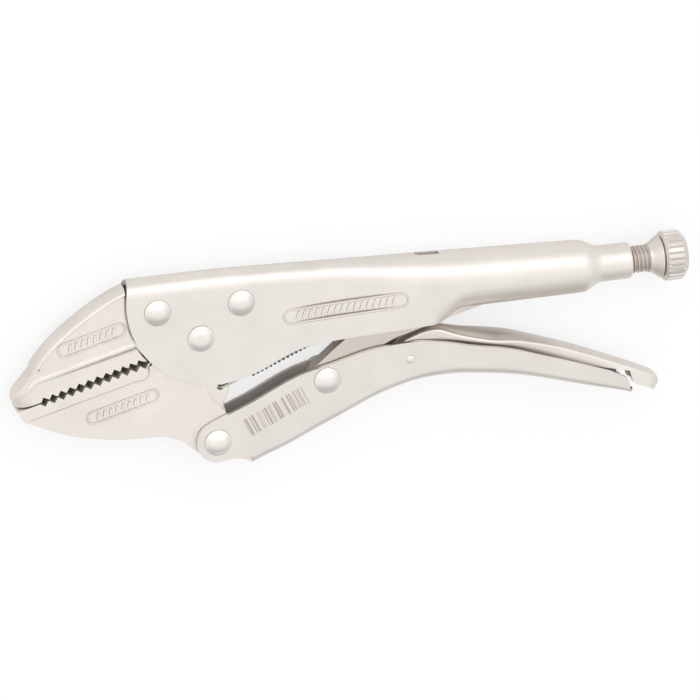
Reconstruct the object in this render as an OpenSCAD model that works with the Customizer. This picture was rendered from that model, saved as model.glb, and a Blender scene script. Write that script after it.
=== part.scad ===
// Locking pliers, 250 mm class, lying on their side.
// Frame: X runs along the adjusting screw, Y from the moving handle to the fixed handle,
// Z up through the thickness. The origin is on the jaw pivot's axis, at the bench plane.

/* [Overall] */
// Jaw pivot to the rear end of the fixed handle
body_len = 158; // [150:1:195]
// Jaw pivot to the nose of the jaws
jaw_reach = 69.5; // [58:0.5:84]

/* [Sheet metal] */
// Thickness of the fixed handle's sheet
sheet_t = 2; // [1.5:0.1:2.4]
// Thickness of the moving handle's sheet
grip_t = 1.8; // [1.4:0.1:2.2]
// Thickness of the release lever's sheet
lever_t = 1.6; // [1.2:0.1:2]
// Clear gap between the walls of either handle
gap_w = 7.2; // [6.4:0.1:8.8]
// Side clearance of anything that swings between two walls
side_play = 0.3; // [0.2:0.05:0.5]

/* [Fixed handle] */
// Outer radius of the tube where the channel closes
tube_r = 9.6; // [8.4:0.1:11.4]
// Outer radius of the tube at its rear end
tube_end_r = 8.9; // [8:0.1:9.6]
// Height of the adjusting screw's axis above the jaw pivot
axis_y = 7.9; // [6.5:0.1:9]
// Height of the handle's back above the jaw pivot
back_y = 23; // [21:0.5:27]
// Front edge of the handle, ahead of the jaw pivot
front_x = 26; // [24:0.5:28]
// Radius of the front edge, which runs on around the jaw pivot as a lobe
lobe_r = 32; // [31:0.5:33]
// Lowest point of the lobe, below the jaw pivot
lobe_drop = 17.9; // [17:0.1:18.4]
// Length of the stepped neck at the rear end
neck_len = 13; // [10:0.5:18]
// Outer radius of the neck
neck_r = 6.5; // [6:0.1:7.8]
// Length of the slot that the spring tab is bent out of
tab_slot_len = 8.8; // [7:0.2:10]
// Width of the spring tab
tab_w = 4; // [3:0.2:5]

/* [Pivots] */
// Half the distance between the two upper jaw rivets
jaw_rivet_x = 15; // [13:0.5:18]
// Height of the upper jaw rivets above the jaw pivot
jaw_rivet_y = 11.4; // [11:0.2:12.5]
// Handle pivot, along X from the jaw pivot
handle_pivot_x = 4.4; // [3:0.2:6]
// Handle pivot, below the jaw pivot
handle_pivot_y = 39.6; // [37:0.2:47.5]
// Link pivot, along X from the jaw pivot
link_pivot_x = 44.8; // [43:0.2:47]
// Link pivot, below the jaw pivot
link_pivot_y = 21.4; // [21:0.2:24]
// Centre of the link's free end, along X from the jaw pivot
link_end_x = 115; // [112:0.5:118]
// Release lever pin, along X from the jaw pivot
lever_pin_x = 75.3; // [73:0.2:78]
// Release lever pin, below the jaw pivot
lever_pin_y = 17.3; // [17:0.1:18.2]

/* [Rivets] */
// Shank radius of the large rivets
shank_r = 3; // [2.4:0.1:3.7]
// Head radius of the large rivets
rivet_head_r = 4.65; // [4.2:0.05:5.2]
// Height of the domed heads
dome_h = 2.3; // [1.8:0.1:2.8]
// Shank radius of the release lever pin
pin_r = 1.65; // [1.3:0.05:2]
// Radial play of every running bore
bore_play = 0.05; // [0.02:0.01:0.1]

/* [Jaws] */
// Thickness of the jaws across the teeth
jaw_t = 10.4; // [9:0.2:12]
// Slope of the parting line, in degrees
bite_angle = 14.5; // [13:0.5:16]
// Height at which the parting line would pass the jaw pivot, below it
bite_drop = 1.8; // [1.5:0.1:2.2]
// Gap between the tips of the closed teeth
bite_gap = 0.3; // [0.3:0.1:1]
// Pitch of the teeth
tooth_pitch = 3.4; // [2.6:0.1:4.2]
// Depth of the teeth
tooth_depth = 1.5; // [1:0.1:1.8]
// Thickness of the lower jaw's spring tab
spring_tab_t = 3.4; // [2.6:0.1:4]
// Radius of the hole that the spring hooks into
spring_hole_r = 1.2; // [1:0.1:1.5]

/* [Link] */
// Thickness of the toggle link
link_t = 6; // [5:0.1:6.4]
// Radius of the link's round ends
link_end_r = 6; // [5.2:0.1:6.4]

/* [Moving handle] */
// Half width of the grip
grip_hw = 9.2; // [8.6:0.1:9.6]
// Radius of the ears around the handle pivot
ear_r = 7.4; // [6.4:0.1:8]
// Rear end of the grip, short of the tube's end
grip_short = 3; // [2:0.5:8]

/* [Release lever] */
// Rear end of the lever, past the tube's end
lever_past = 10.3; // [8:0.1:14]
// Clearance around the lever inside the grip
lever_play = 0.5; // [0.4:0.05:0.8]

// Travel of the lever when its tail is pressed, in degrees
lever_travel = 2; // [1.5:0.25:2.5]

/* [Spring] */
// Outer radius of the coils
coil_r = 2.9; // [2.4:0.1:3]
// Radius of the wire
wire_r = 0.55; // [0.4:0.05:0.7]

/* [Adjusting screw] */
// Crest radius of the thread
thread_r = 4.9; // [4.2:0.1:5.2]
// Pitch of the thread
thread_pitch = 1.5; // [1.25:0.05:2]
// Radial play of the thread in the neck
thread_play = 0.1; // [0.06:0.01:0.1]
// Thread that shows between the neck and the head
thread_show = 10; // [9:0.5:13]
// Outer radius of the ribbed head
head_r = 9; // [8:0.1:9.5]
// Width of the ribbed band
head_w = 9; // [7:0.5:11]
// Number of ribs around the head
rib_count = 28; // [20:1:36]
// Clear travel kept between the link's end and the screw's point
toe_gap = 4.4; // [4.4:0.1:6]
// Radius of the screw's plain point
point_r = 3.6; // [3:0.1:4]

/* [Hidden] */
$fn = 64;

nickel = [0.80, 0.77, 0.73];
forged = [0.74, 0.71, 0.67];
wire_grey = [0.62, 0.60, 0.58];

mid_z = tube_r;
wall_hw = gap_w / 2 + sheet_t;
front_hw = gap_w / 2 + grip_t;
swing_t = gap_w - 2 * side_play;
far = 400;

handle_pivot = [handle_pivot_x, -handle_pivot_y];
link_pivot = [link_pivot_x, -link_pivot_y];
link_end = [link_end_x, axis_y];
lever_pin = [lever_pin_x, -lever_pin_y];
spring_hole = [handle_pivot_x + 1.8, -21];

tube_x = 96;
round_x = body_len - neck_len - 4;
channel_x = 42;
neck_x = body_len - neck_len;
slot_end_x = link_end_x + 2;
tab_x = 88;
tab_low_y = 11;
tab_y = 13;

link_toe_r = link_end_r - 1;
point_x = link_end_x + link_toe_r + toe_gap;
point_len = 6;
rib_groove_r = 0.55;

grip_end_x = body_len - grip_short;
lever_end_x = body_len + lever_past;

// ---- helpers ----

// Height of the parting line at a place along X.
function bite_y(x) = -bite_drop + x * tan(bite_angle);

// Smooth step from 0 to 1.
function ease(u) = let (c = min(1, max(0, u))) c * c * (3 - 2 * c);
function mix(a, b, u) = a + (b - a) * u;

// Height of the handle's back along X: level over the jaw, then falling to the tube's end.
function back(x) = mix(back_y, axis_y + tube_end_r, max(0, x - 10) / (round_x - 10));

// Rounded box in Y and Z: top and bottom heights, half width, top and bottom corner radii.
function round_box(top, low, hw, rt0, rb0) = let (rt = min(rt0, hw - 0.02), rb = min(rb0, hw - 0.02)) [
    for (a = [0:15:90]) [top - rt + rt * sin(a), -(hw - rt) - rt * cos(a)],
    for (a = [0:15:90]) [top - rt + rt * cos(a), (hw - rt) + rt * sin(a)],
    for (a = [0:15:90]) [low + rb - rb * sin(a), (hw - rb) + rb * cos(a)],
    for (a = [0:15:90]) [low + rb - rb * cos(a), -(hw - rb) - rb * sin(a)]];

// Solid skinned over rounded boxes, each given as [x, top, low, half width, rt, rb].
module skin(stations) {
    rings = [for (s = stations) [for (p = round_box(s[1], s[2], s[3], s[4], s[5])) [s[0], p[0], p[1]]]];
    n = len(rings[0]);
    m = len(rings);
    sides = [for (i = [0:m - 2], j = [0:n - 1])
        let (a = i * n + j, b = i * n + (j + 1) % n) each [[a, a + n, b], [b, a + n, b + n]]];
    caps = [for (j = [1:n - 2]) each [[0, j, j + 1], [(m - 1) * n, (m - 1) * n + j + 1, (m - 1) * n + j]]];
    polyhedron([for (r = rings) each r], concat(sides, caps), convexity = 6);
}

// Solid turned about the screw's axis from a profile of [x, radius] points.
module turned(profile)
    translate([0, axis_y, 0]) rotate([0, 90, 0]) rotate([0, 0, 90])
        rotate_extrude() polygon([for (p = profile) [p[1], p[0]]]);

// Plate of an outline in X and Y, centred on the mid-plane.
module plate(t) linear_extrude(height = t, center = true) children();

// Round bar along Z through a pivot.
module bar(at, r, len) translate([at[0], at[1], 0]) cylinder(r = r, h = len, center = true);

// Points on an arc about a centre.
function arc(c, r, a0, a1, n = 8) = [for (i = [0:n]) let (a = mix(a0, a1, i / n)) c + r * [cos(a), sin(a)]];

// Domed head on a wall at height hw.
module dome(hw) {
    sphere_r = (pow(rivet_head_r, 2) + dome_h * dome_h) / (2 * dome_h);
    flat_r = rivet_head_r * 0.42;
    translate([0, 0, hw]) rotate_extrude() polygon(concat([[0, 0], [rivet_head_r, 0]],
        [for (i = [1:7]) let (r = mix(rivet_head_r, flat_r, i / 7))
            [r, sqrt(sphere_r * sphere_r - r * r) - sphere_r + dome_h]],
        [[0, sqrt(sphere_r * sphere_r - flat_r * flat_r) - sphere_r + dome_h]]));
}

// Rivet: shank through both walls, dome above, flat-topped head down to the bench plane.
module rivet(at, hw) {
    foot_r = rivet_head_r - 0.9;
    translate([at[0], at[1], 0]) {
        cylinder(r = shank_r, h = 2 * hw, center = true);
        dome(hw);
        translate([0, 0, -mid_z]) rotate_extrude()
            polygon([[0, 0], [foot_r, 0], [rivet_head_r, 0.9], [rivet_head_r, mid_z - hw], [0, mid_z - hw]]);
    }
}

// ---- fixed handle ----

lobe_c = [lobe_r - front_x, lobe_r - lobe_drop];

// Side outline of the folded part: front edge, lobe around the pivot, rising lower edge.
module handle_outline() {
    polygon(concat(arc(lobe_c, lobe_r, 163.5, 288, 24), [[22, -13.1], [28.7, -10.2], [35, -7.9], [41, -6.7]],
        [[54, -6], [72, -4.5], [tube_x, -2.2], [tube_x + 4, -20], [body_len, -20], [body_len, back_y + 5],
        lobe_c + lobe_r * [cos(163.5), sin(163.5)] + [0, 10]]));
}

// Half width along X: flat walls at the front, swelling to the tube.
function body_hw(x) = x < tube_x ? mix(wall_hw, tube_r, ease((x - channel_x) / (tube_x - channel_x)))
    : mix(tube_r, tube_end_r, (x - tube_x) / (round_x - tube_x));

// Stations of the folded part, grown inward by a sheet thickness for the cavity.
function body_station(x, t) = let (close = ease((x - 58) / (tube_x - 58)), hw = body_hw(x) - t)
    [x, back(x) - t, mix(-40, axis_y - tube_end_r + t, close), hw, hw, mix(2.2, hw, close)];

module body_solid(t) {
    xs = [-front_x - 1, 10, channel_x, for (i = [1:9]) mix(channel_x, tube_x, i / 9),
        mix(tube_x, round_x, 0.5), round_x];
    skin([for (x = xs) body_station(x, t)]);
}

// Shoulder and neck behind the tube.
module neck_solid()
    turned([[round_x - 0.2, 0], [round_x - 0.2, tube_end_r], [neck_x - 1, tube_end_r - 0.9],
        [neck_x + 1.6, neck_r], [body_len, neck_r], [body_len, 0]]);

module fixed_handle() color(nickel) translate([0, 0, mid_z]) {
    difference() {
        union() {
            intersection() {
                body_solid(0);
                plate(60) handle_outline();
            }
            neck_solid();
        }
        body_solid(sheet_t);
        turned([[round_x - 1, 0], [round_x - 1, tube_end_r - sheet_t - 0.4],
            [neck_x - 2, thread_r + thread_play], [body_len + 1, thread_r + thread_play], [body_len + 1, 0]]);
        translate([-far / 2, -far + axis_y, -gap_w / 2]) cube([far / 2 + slot_end_x - gap_w / 2, far, gap_w]);
        translate([slot_end_x - gap_w / 2, axis_y, 0]) rotate([90, 0, 0])
            cylinder(r = gap_w / 2, h = 3 * tube_r);
        for (x = [-jaw_rivet_x, jaw_rivet_x]) bar([x, jaw_rivet_y], shank_r, 60);
        bar([0, 0], shank_r, 60);
        translate([tab_x - tab_slot_len, axis_y, -tab_w / 2 - 0.3]) cube([tab_slot_len, 30, tab_w + 0.6]);
    }
    // Tab bent down inside the slot, with an eye for the spring.
    difference() {
        translate([tab_x - 0.2, tab_low_y, -tab_w / 2])
            cube([sheet_t, back(tab_x) - sheet_t * 0.5 - tab_low_y, tab_w]);
        translate([tab_x, tab_y, 0]) rotate([0, 90, 0]) cylinder(r = wire_r + 0.7, h = 8, center = true);
    }
}

// ---- upper jaw ----

// Back and nose of the upper jaw, from the handle to the parting line.
function upper_x(u) = -mix(front_x, jaw_reach, u);

module upper_nose_outline() {
    polygon(concat([[-front_x + 6, back_y - wall_hw], [-front_x - 0.3, back_y - wall_hw],
        [-front_x - 0.3, back_y], [upper_x(0.11), back_y], [upper_x(0.21), back_y - 1.5],
        [upper_x(0.37), back_y - 5.5], [upper_x(0.58), back_y - 11], [upper_x(0.69), back_y - 16],
        [upper_x(0.8), back_y - 22.5], [upper_x(0.905), back_y - 29.7]],
        arc([upper_x(1) + 4.4, -12.6], 4.4, 135, 215, 5),
        [[upper_x(1) + 2.8, bite_y(upper_x(1) + 2.8)], [-19.6, bite_y(-19.6)], [-22.5, 0], [-24.8, 8]]));
}

// Row of V notches along the parting line, cut upward or downward.
module teeth(up) {
    count = floor((jaw_reach - 28) / tooth_pitch);
    tooth_half = tooth_pitch * 0.46;
    for (i = [0:count - 1]) {
        x = -21.5 - i * tooth_pitch * cos(bite_angle);
        translate([x, bite_y(x)]) rotate(bite_angle)
            polygon([[-tooth_half, -up * bite_gap], [tooth_half, -up * bite_gap], [0, up * tooth_depth]]);
    }
}

module upper_jaw() color(forged) translate([0, 0, mid_z]) difference() {
    union() {
        plate(jaw_t) upper_nose_outline();
        // Tongue between the handle's walls.
        plate(gap_w) polygon([[-front_x - 2, back_y - wall_hw], [22, back(22) - wall_hw], [23, 14],
            [22, 5], [-front_x - 2, 1]]);
    }
    // The thick part stops short of the handle's front edge.
    for (s = [-1, 1]) translate([0, 0, s * (gap_w / 2 + 10)]) plate(20) difference() {
        translate([-40, -40]) square([80, 80]);
        difference() {
            translate([-90, -40]) square([130, 80]);
            translate(lobe_c) circle(r = lobe_r + 0.3, $fn = 180);
        }
    }
    // Recess in each cheek, above the tooth band.
    for (s = [-1, 1]) translate([0, 0, s * (jaw_t / 2 + 1 - 0.7)]) plate(2) polygon([
        [-27.5, 1.6], [-29, back_y - 3.5], [upper_x(0.37), back_y - 8.5], [upper_x(0.67), back_y - 18.5],
        [upper_x(0.84), bite_y(upper_x(0.84)) + 9.5]]);
    plate(60) teeth(1);
    plate(60) translate([0, -bite_gap]) teeth(1);
    // Room for the lower jaw's hub, which turns between the walls.
    bar([0, 0], 10.2, 60);
    plate(60) polygon([[-19.6, -20], [-19.6, 2.2], [0, 4], [24, 4], [24, -20]]);
    for (x = [-jaw_rivet_x, jaw_rivet_x]) bar([x, jaw_rivet_y], shank_r, 60);
}

// ---- lower jaw ----

module lower_jaw() color(forged) translate([0, 0, mid_z]) difference() {
    union() {
        // Body, thin enough to turn between the handle's walls.
        plate(swing_t) union() {
            circle(r = 9.4);
            polygon(concat([[6, 7], [-4, 8], [-19.2, bite_y(-19.2)],
                    [-jaw_reach + 3.6, bite_y(-jaw_reach + 3.6)], [-jaw_reach + 4, -20.8],
                    [-jaw_reach + 6.3, -24.6], [-jaw_reach + 17.5, -29.6],
                    [-jaw_reach + 27, -32.6], [-31.9, -34.5], [-25.3, -35], [-16.4, -35.4], [-12, -36.2],
                    [-7.7, -38.3], [-4.1, -41.8]],
                    arc(handle_pivot, ear_r - 0.9, 215, 385, 12),
                    [[8.1, -28.9], [4.7, -25.2], [2.4, -21.5], [3.6, -12]]));
        }
        // Tooth pad, as thick as the upper jaw.
        plate(jaw_t) polygon(concat([[-19.4, bite_y(-19.4)], [-jaw_reach + 3.6, bite_y(-jaw_reach + 3.6)],
            [-jaw_reach + 4, -20.8], [-jaw_reach + 6.3, -24.2], [-jaw_reach + 8, -23.4], [-30.2, -15.3]],
            arc([-23.6, -9.6], 4.2, 280, 368, 5)));
        // Thin tab that takes the spring.
        plate(spring_tab_t) polygon([[1, -15], [9.9, -15], [9.9, -22.3], [9, -24.4], [7.8, -26.1],
            [8.5, -28.7], [9.1, -31], [2, -31]]);
    }
    // Parting line and teeth.
    plate(60) polygon([[-far, bite_y(-far) - bite_gap], [-19.2, bite_y(-19.2) - bite_gap],
        [-19.2, 30], [-far, 30]]);
    plate(60) translate([0, -bite_gap]) teeth(-1);
    bar([0, 0], shank_r + bore_play, 60);
    bar(handle_pivot, shank_r + bore_play, 60);
    bar(spring_hole, spring_hole_r, 60);
}

// ---- rivets and pin ----

module upper_jaw_front_rivet() color(nickel) translate([0, 0, mid_z])
    rivet([-jaw_rivet_x, jaw_rivet_y], wall_hw);
module upper_jaw_rear_rivet() color(nickel) translate([0, 0, mid_z])
    rivet([jaw_rivet_x, jaw_rivet_y], wall_hw);
module jaw_pivot_rivet() color(nickel) translate([0, 0, mid_z]) rivet([0, 0], wall_hw);
module handle_pivot_rivet() color(nickel) translate([0, 0, mid_z]) rivet(handle_pivot, front_hw);
module link_rivet() color(nickel) translate([0, 0, mid_z]) rivet(link_pivot, front_hw);

module release_lever_pin() color(nickel) translate([lever_pin[0], lever_pin[1], mid_z])
    cylinder(r = pin_r, h = 2 * front_hw + 0.6, center = true);

// ---- moving handle ----

// Place along the grip, as a share of the stretch from the lever's pin to the rear end.
function gx(u) = mix(72, grip_end_x, u);
// Lower edge of the moving handle, as a height along X.
function line_y(p, q, x) = mix(p[1], q[1], (x - p[0]) / (q[0] - p[0]));
function grip_low(x) = x < 60 ? line_y([17, -49.4], [60, -31], x)
    : x < 80 ? mix(-31, -25.7, sin((x - 60) * 4.5))
    : -25.2 - 13.6 * pow(max(0, (x - 88) / (grip_end_x - 88)), 1.75);

module moving_handle_outline() {
    polygon(concat(arc(handle_pivot, ear_r, 118, 285, 12), [[11.6, -46.5], [15.4, -47.6], [17.1, -50],
        [17.1, -60], [grip_end_x + 1, -60], [grip_end_x + 1, -37.8], [grip_end_x - 0.4, -35.4],
        [grip_end_x - 3, -33], [gx(0.85), -28.6], [gx(0.73), -25], [gx(0.58), -20.7], [gx(0.47), -17.3],
        [gx(0.31), -14.9], [gx(0.2), -13], [gx(0.1), -11.3], [gx(0), -11], [64, -11.6], [53, -14],
        [34.2, -18.4]]));
}

function grip_station(x, t) = let (u = ease((x - 80) / 28), hw = mix(front_hw, grip_hw, u))
    [x, 5, grip_low(x) + t, hw - t, 0.5, mix(3, 4.2, u) - t];

module grip_solid(t) {
    xs = [-20, 17, 40, 60, 66, 73, 80, 87, 94, 101, 108, for (i = [1:6]) mix(108, grip_end_x + 2, i / 6)];
    skin([for (x = xs) grip_station(x, t)]);
}

module moving_handle() color(nickel) translate([0, 0, mid_z]) difference() {
    intersection() {
        grip_solid(0);
        plate(60) moving_handle_outline();
        translate([-far / 2, -far / 2, -30]) cube([far / 2 + grip_end_x, far, 60]);
    }
    grip_solid(grip_t);
    translate([-far + 16.9, -far / 2, -gap_w / 2]) cube([far, far, gap_w]);
    for (p = [handle_pivot, link_pivot]) bar(p, shank_r, 60);
    bar(lever_pin, pin_r, 60);
}

// ---- toggle link ----

module toggle_link() color(forged) translate([0, 0, mid_z]) difference() {
    plate(link_t) polygon(concat(arc(link_pivot, link_end_r, -42, -232, 14),
        [[54.4, -6.3], [64, -0.8], [80, 4], [100, 9.4]], arc(link_end, link_toe_r, 106, -66, 12),
        [[101.4, -1.5], [86.2, -5.5], [77, -7.9], [66, -11.8]]));
    bar(link_pivot, shank_r + bore_play, 60);
}

// ---- release lever ----

lever_l = lever_end_x - 95;
// Crown of the lever along X: hump over the link's edge, then falling to the curled tail.
function lever_top(x) = x < 85 ? -6.9 - 0.03 * pow(85 - x, 2) : x < 95 ? -6.9 - 0.021 * pow(x - 85, 2)
    : -9 - lever_drop * pow((x - 95) / lever_l, 1.48) - 3.4 * pow((x - 95) / lever_l, 14);
// Lower edge of the lever's skirts: clear of the grip's web when the tail is pressed.
function skirt_y(x) = grip_low(x) + grip_t + lever_play + 1.1 + (x - lever_pin_x) * sin(lever_travel);
// Fall of the crown that leaves the skirts 4.2 mm deep at the grip's end.
lever_drop = (-9 - 4.2 - skirt_y(grip_end_x)) / pow((grip_end_x - 95) / lever_l, 1.48);

function lever_station(x, t) = let (u = ease((x - 82) / 26),
    hw = mix(gap_w / 2, grip_hw - grip_t, u) - lever_play - t)
    [x, lever_top(x) - t, -70, hw, mix(1.4, 3.4, u) - t * 0.6, 0.4];

module lever_solid(t) {
    xs = [68, 72, 76, 80, 84, 88, 92, 96, 102, 108, 115, for (i = [1:9]) mix(115, lever_end_x, i / 9)];
    skin([for (x = xs) lever_station(x, t)]);
}

module lever_outline()
    polygon(concat([[69.5, -6], [69.5, -14], [71, -20.5], [80, -21.3]],
        [for (i = [0:8]) let (x = mix(92, grip_end_x, i / 8)) [x, skirt_y(x)]],
        [[grip_end_x + 1.7, skirt_y(grip_end_x)], [grip_end_x + 2.2, -36.6]],
        arc([lever_end_x - 3.8, -37.4], 3.9, 250, 350, 6), [[lever_end_x + 1, -6]]));

module release_lever() color(nickel) translate([0, 0, mid_z]) difference() {
    intersection() {
        lever_solid(0);
        plate(60) lever_outline();
    }
    difference() {
        lever_solid(lever_t);
        translate([lever_end_x - lever_t, -60, -30]) cube([10, 60, 60]);
    }
    bar(lever_pin, pin_r + bore_play, 60);
}

// ---- return spring ----

spring_dir = [tab_x, tab_y] - spring_hole;
spring_len = norm(spring_dir);
spring_turn = atan2(spring_dir[1], spring_dir[0]);

// Straight wire between two points, with round ends.
module wire(a, b) {
    d = b - a;
    translate(a) rotate([0, acos(d[2] / norm(d)), atan2(d[1], d[0])])
        cylinder(r = wire_r, h = norm(d), $fn = 24);
    for (p = [a, b]) translate(p) sphere(r = wire_r, $fn = 24);
}

module return_spring() color(wire_grey) translate([spring_hole[0], spring_hole[1], mid_z])
    rotate(spring_turn) {
    side_z = spring_tab_t / 2 + wire_r + 0.35;
    translate([8, 0, 0]) rotate([0, 90, 0]) cylinder(r = coil_r, h = spring_len - 14);
    // Front hook: beside the tab, then through its hole.
    wire([8, 0, 0], [6, 0, side_z]);
    wire([6, 0, side_z], [0, 0, side_z]);
    wire([0, 0, side_z], [0, 0, -side_z]);
    // Rear hook: through the eye of the handle's tab.
    wire([spring_len - 7, 0, 0], [spring_len + 3.4, 0, 0]);
}

// ---- adjusting screw ----

function ring_groove(i) = let (x = body_len + thread_show - 1.2 - i * thread_pitch)
    [[x, thread_r], [x - thread_pitch * 0.2, thread_r], [x - thread_pitch * 0.5, thread_r - 0.7],
     [x - thread_pitch * 0.8, thread_r]];

module adjusting_screw() color(nickel) translate([0, 0, mid_z]) {
    head_x = body_len + thread_show;
    start_x = point_x + point_len + 0.1;
    turns = floor((head_x - 1.2 - start_x) / thread_pitch) - 1;
    difference() {
        turned(concat([[head_x + head_w + 1.5, 0], [head_x + head_w + 1.5, head_r - 2.2],
            [head_x + head_w + 0.6, head_r - 1], [head_x + head_w - 0.6, head_r],
            [head_x + 2.2, head_r], [head_x + 1.4, head_r - 1.6],
            [head_x - 0.2, head_r - 2.4], [head_x - 0.2, thread_r]],
            [for (i = [0:turns]) each ring_groove(i)], [[start_x, thread_r], [start_x, 0]]));
        for (i = [0:rib_count - 1]) translate([0, axis_y, 0]) rotate([i * 360 / rib_count, 0, 0])
            translate([head_x + 2.4, head_r + 0.1, 0]) rotate([0, 90, 0])
                cylinder(r = rib_groove_r, h = head_w, $fn = 14);
    }
}

module screw_point() color(nickel) translate([0, 0, mid_z]) {
    turned([[point_x, 0], [point_x, point_r - 0.8], [point_x + 0.8, point_r],
        [point_x + point_len, point_r], [point_x + point_len, 0]]);
}

fixed_handle();
upper_jaw();
lower_jaw();
upper_jaw_front_rivet();
upper_jaw_rear_rivet();
jaw_pivot_rivet();
handle_pivot_rivet();
moving_handle();
toggle_link();
link_rivet();
release_lever();
release_lever_pin();
return_spring();
adjusting_screw();
screw_point();
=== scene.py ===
"""Locking pliers of the 250 mm class in satin nickel, closed and lying on their side.

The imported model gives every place. Outlines are in millimetres in its frame, from the jaw
pivot: X along the adjusting screw, Y towards the fixed handle, Z up from the bench.
"""
import math

import bmesh
import bpy
from mathutils import Matrix, Vector


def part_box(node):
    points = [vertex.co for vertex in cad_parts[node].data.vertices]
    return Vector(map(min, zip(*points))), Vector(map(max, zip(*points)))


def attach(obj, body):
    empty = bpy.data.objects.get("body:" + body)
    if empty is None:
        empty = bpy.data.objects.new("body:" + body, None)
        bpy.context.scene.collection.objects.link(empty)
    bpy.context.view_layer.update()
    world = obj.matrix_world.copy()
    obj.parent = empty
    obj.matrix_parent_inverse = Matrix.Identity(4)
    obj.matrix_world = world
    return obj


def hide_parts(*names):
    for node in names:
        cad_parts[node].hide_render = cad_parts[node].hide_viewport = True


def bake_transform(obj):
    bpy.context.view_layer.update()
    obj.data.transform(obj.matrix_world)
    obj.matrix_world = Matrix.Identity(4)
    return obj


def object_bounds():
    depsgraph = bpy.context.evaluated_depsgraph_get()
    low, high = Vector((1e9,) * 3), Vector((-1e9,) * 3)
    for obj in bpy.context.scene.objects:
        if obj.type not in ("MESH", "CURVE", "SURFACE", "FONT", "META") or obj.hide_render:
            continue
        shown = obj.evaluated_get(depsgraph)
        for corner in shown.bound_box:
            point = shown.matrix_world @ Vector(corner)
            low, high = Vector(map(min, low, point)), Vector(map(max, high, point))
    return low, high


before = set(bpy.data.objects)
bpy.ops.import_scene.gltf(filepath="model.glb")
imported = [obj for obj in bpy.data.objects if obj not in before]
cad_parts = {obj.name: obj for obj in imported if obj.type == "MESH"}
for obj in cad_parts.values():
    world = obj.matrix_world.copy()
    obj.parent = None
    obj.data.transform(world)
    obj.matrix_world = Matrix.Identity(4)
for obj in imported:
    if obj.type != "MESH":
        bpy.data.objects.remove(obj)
cad_low, cad_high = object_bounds()

# ---------------------------------------------------------------------------
# Fixed handle: one blank of 2 mm steel sheet, folded into a channel over the jaw and rolled
# into a tube behind it, with a necked end that is threaded for the screw. A tab is cut from
# the back and bent down inside for the spring. Tumbled, then plated in satin nickel.
# ---------------------------------------------------------------------------
MM = 0.001


def node_box(node):
    """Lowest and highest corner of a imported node, in millimetres."""
    low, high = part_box(node)
    return low / MM, high / MM


def node_middle(node):
    low, high = node_box(node)
    return (low + high) / 2


def ease(u):
    """Smooth step from 0 to 1."""
    u = min(1.0, max(0.0, u))
    return u * u * (3 - 2 * u)


def mix(a, b, u):
    return a + (b - a) * u


def curve_at(points, x):
    """Height at x of a smooth line through points that are given in order of x."""
    if x <= points[0][0]:
        return points[0][1]
    if x >= points[-1][0]:
        return points[-1][1]
    i = max(k for k in range(len(points) - 1) if points[k][0] <= x)
    (x0, y0), (x1, y1) = points[i], points[i + 1]

    def slope(k):
        k0, k1 = max(0, k - 1), min(len(points) - 1, k + 1)
        return (points[k1][1] - points[k0][1]) / (points[k1][0] - points[k0][0])

    u, span = (x - x0) / (x1 - x0), x1 - x0
    rise = (y1 - y0, slope(i) * span, slope(i + 1) * span)
    return y0 + u * (rise[1] + u * (3 * rise[0] - 2 * rise[1] - rise[2]
                                    + u * (rise[1] + rise[2] - 2 * rise[0])))


def arc(centre, radius, start, end, count):
    """Points of a circular arc, angles in degrees."""
    angles = [math.radians(mix(start, end, i / count)) for i in range(count + 1)]
    return [(centre[0] + radius * math.cos(a), centre[1] + radius * math.sin(a)) for a in angles]


def resample(points, count):
    """The same line with its points evenly spaced."""
    gone = [0.0]
    for a, b in zip(points, points[1:]):
        gone.append(gone[-1] + (Vector(b) - Vector(a)).length)
    spread, k = [], 0
    for i in range(count + 1):
        want = gone[-1] * i / count
        while k < len(points) - 2 and gone[k + 1] < want:
            k += 1
        span = gone[k + 1] - gone[k] or 1.0
        spread.append(Vector(points[k]).lerp(Vector(points[k + 1]), min(1.0, (want - gone[k]) / span)))
    return spread


def draw_rows(bm, rows, closed=False):
    """Extrudes a row of points from station to station, and returns the rows of vertices."""
    verts = [bm.verts.new(p) for p in rows[0]]
    pairs = zip(verts, verts[1:] + verts[:1]) if closed else zip(verts, verts[1:])
    edges = [bm.edges.new(pair) for pair in pairs]
    grid = [verts]
    for row in rows[1:]:
        made = bmesh.ops.extrude_edge_only(bm, edges=edges)["geom"]
        new = {g for g in made if isinstance(g, bmesh.types.BMVert)}
        verts = [next(e.other_vert(v) for e in v.link_edges if e.other_vert(v) in new) for v in verts]
        for v, p in zip(verts, row):
            v.co = p
        loop = zip(verts, verts[1:] + verts[:1]) if closed else zip(verts, verts[1:])
        edges = [bm.edges.get(pair) for pair in loop]
        grid.append(verts)
    return grid


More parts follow.
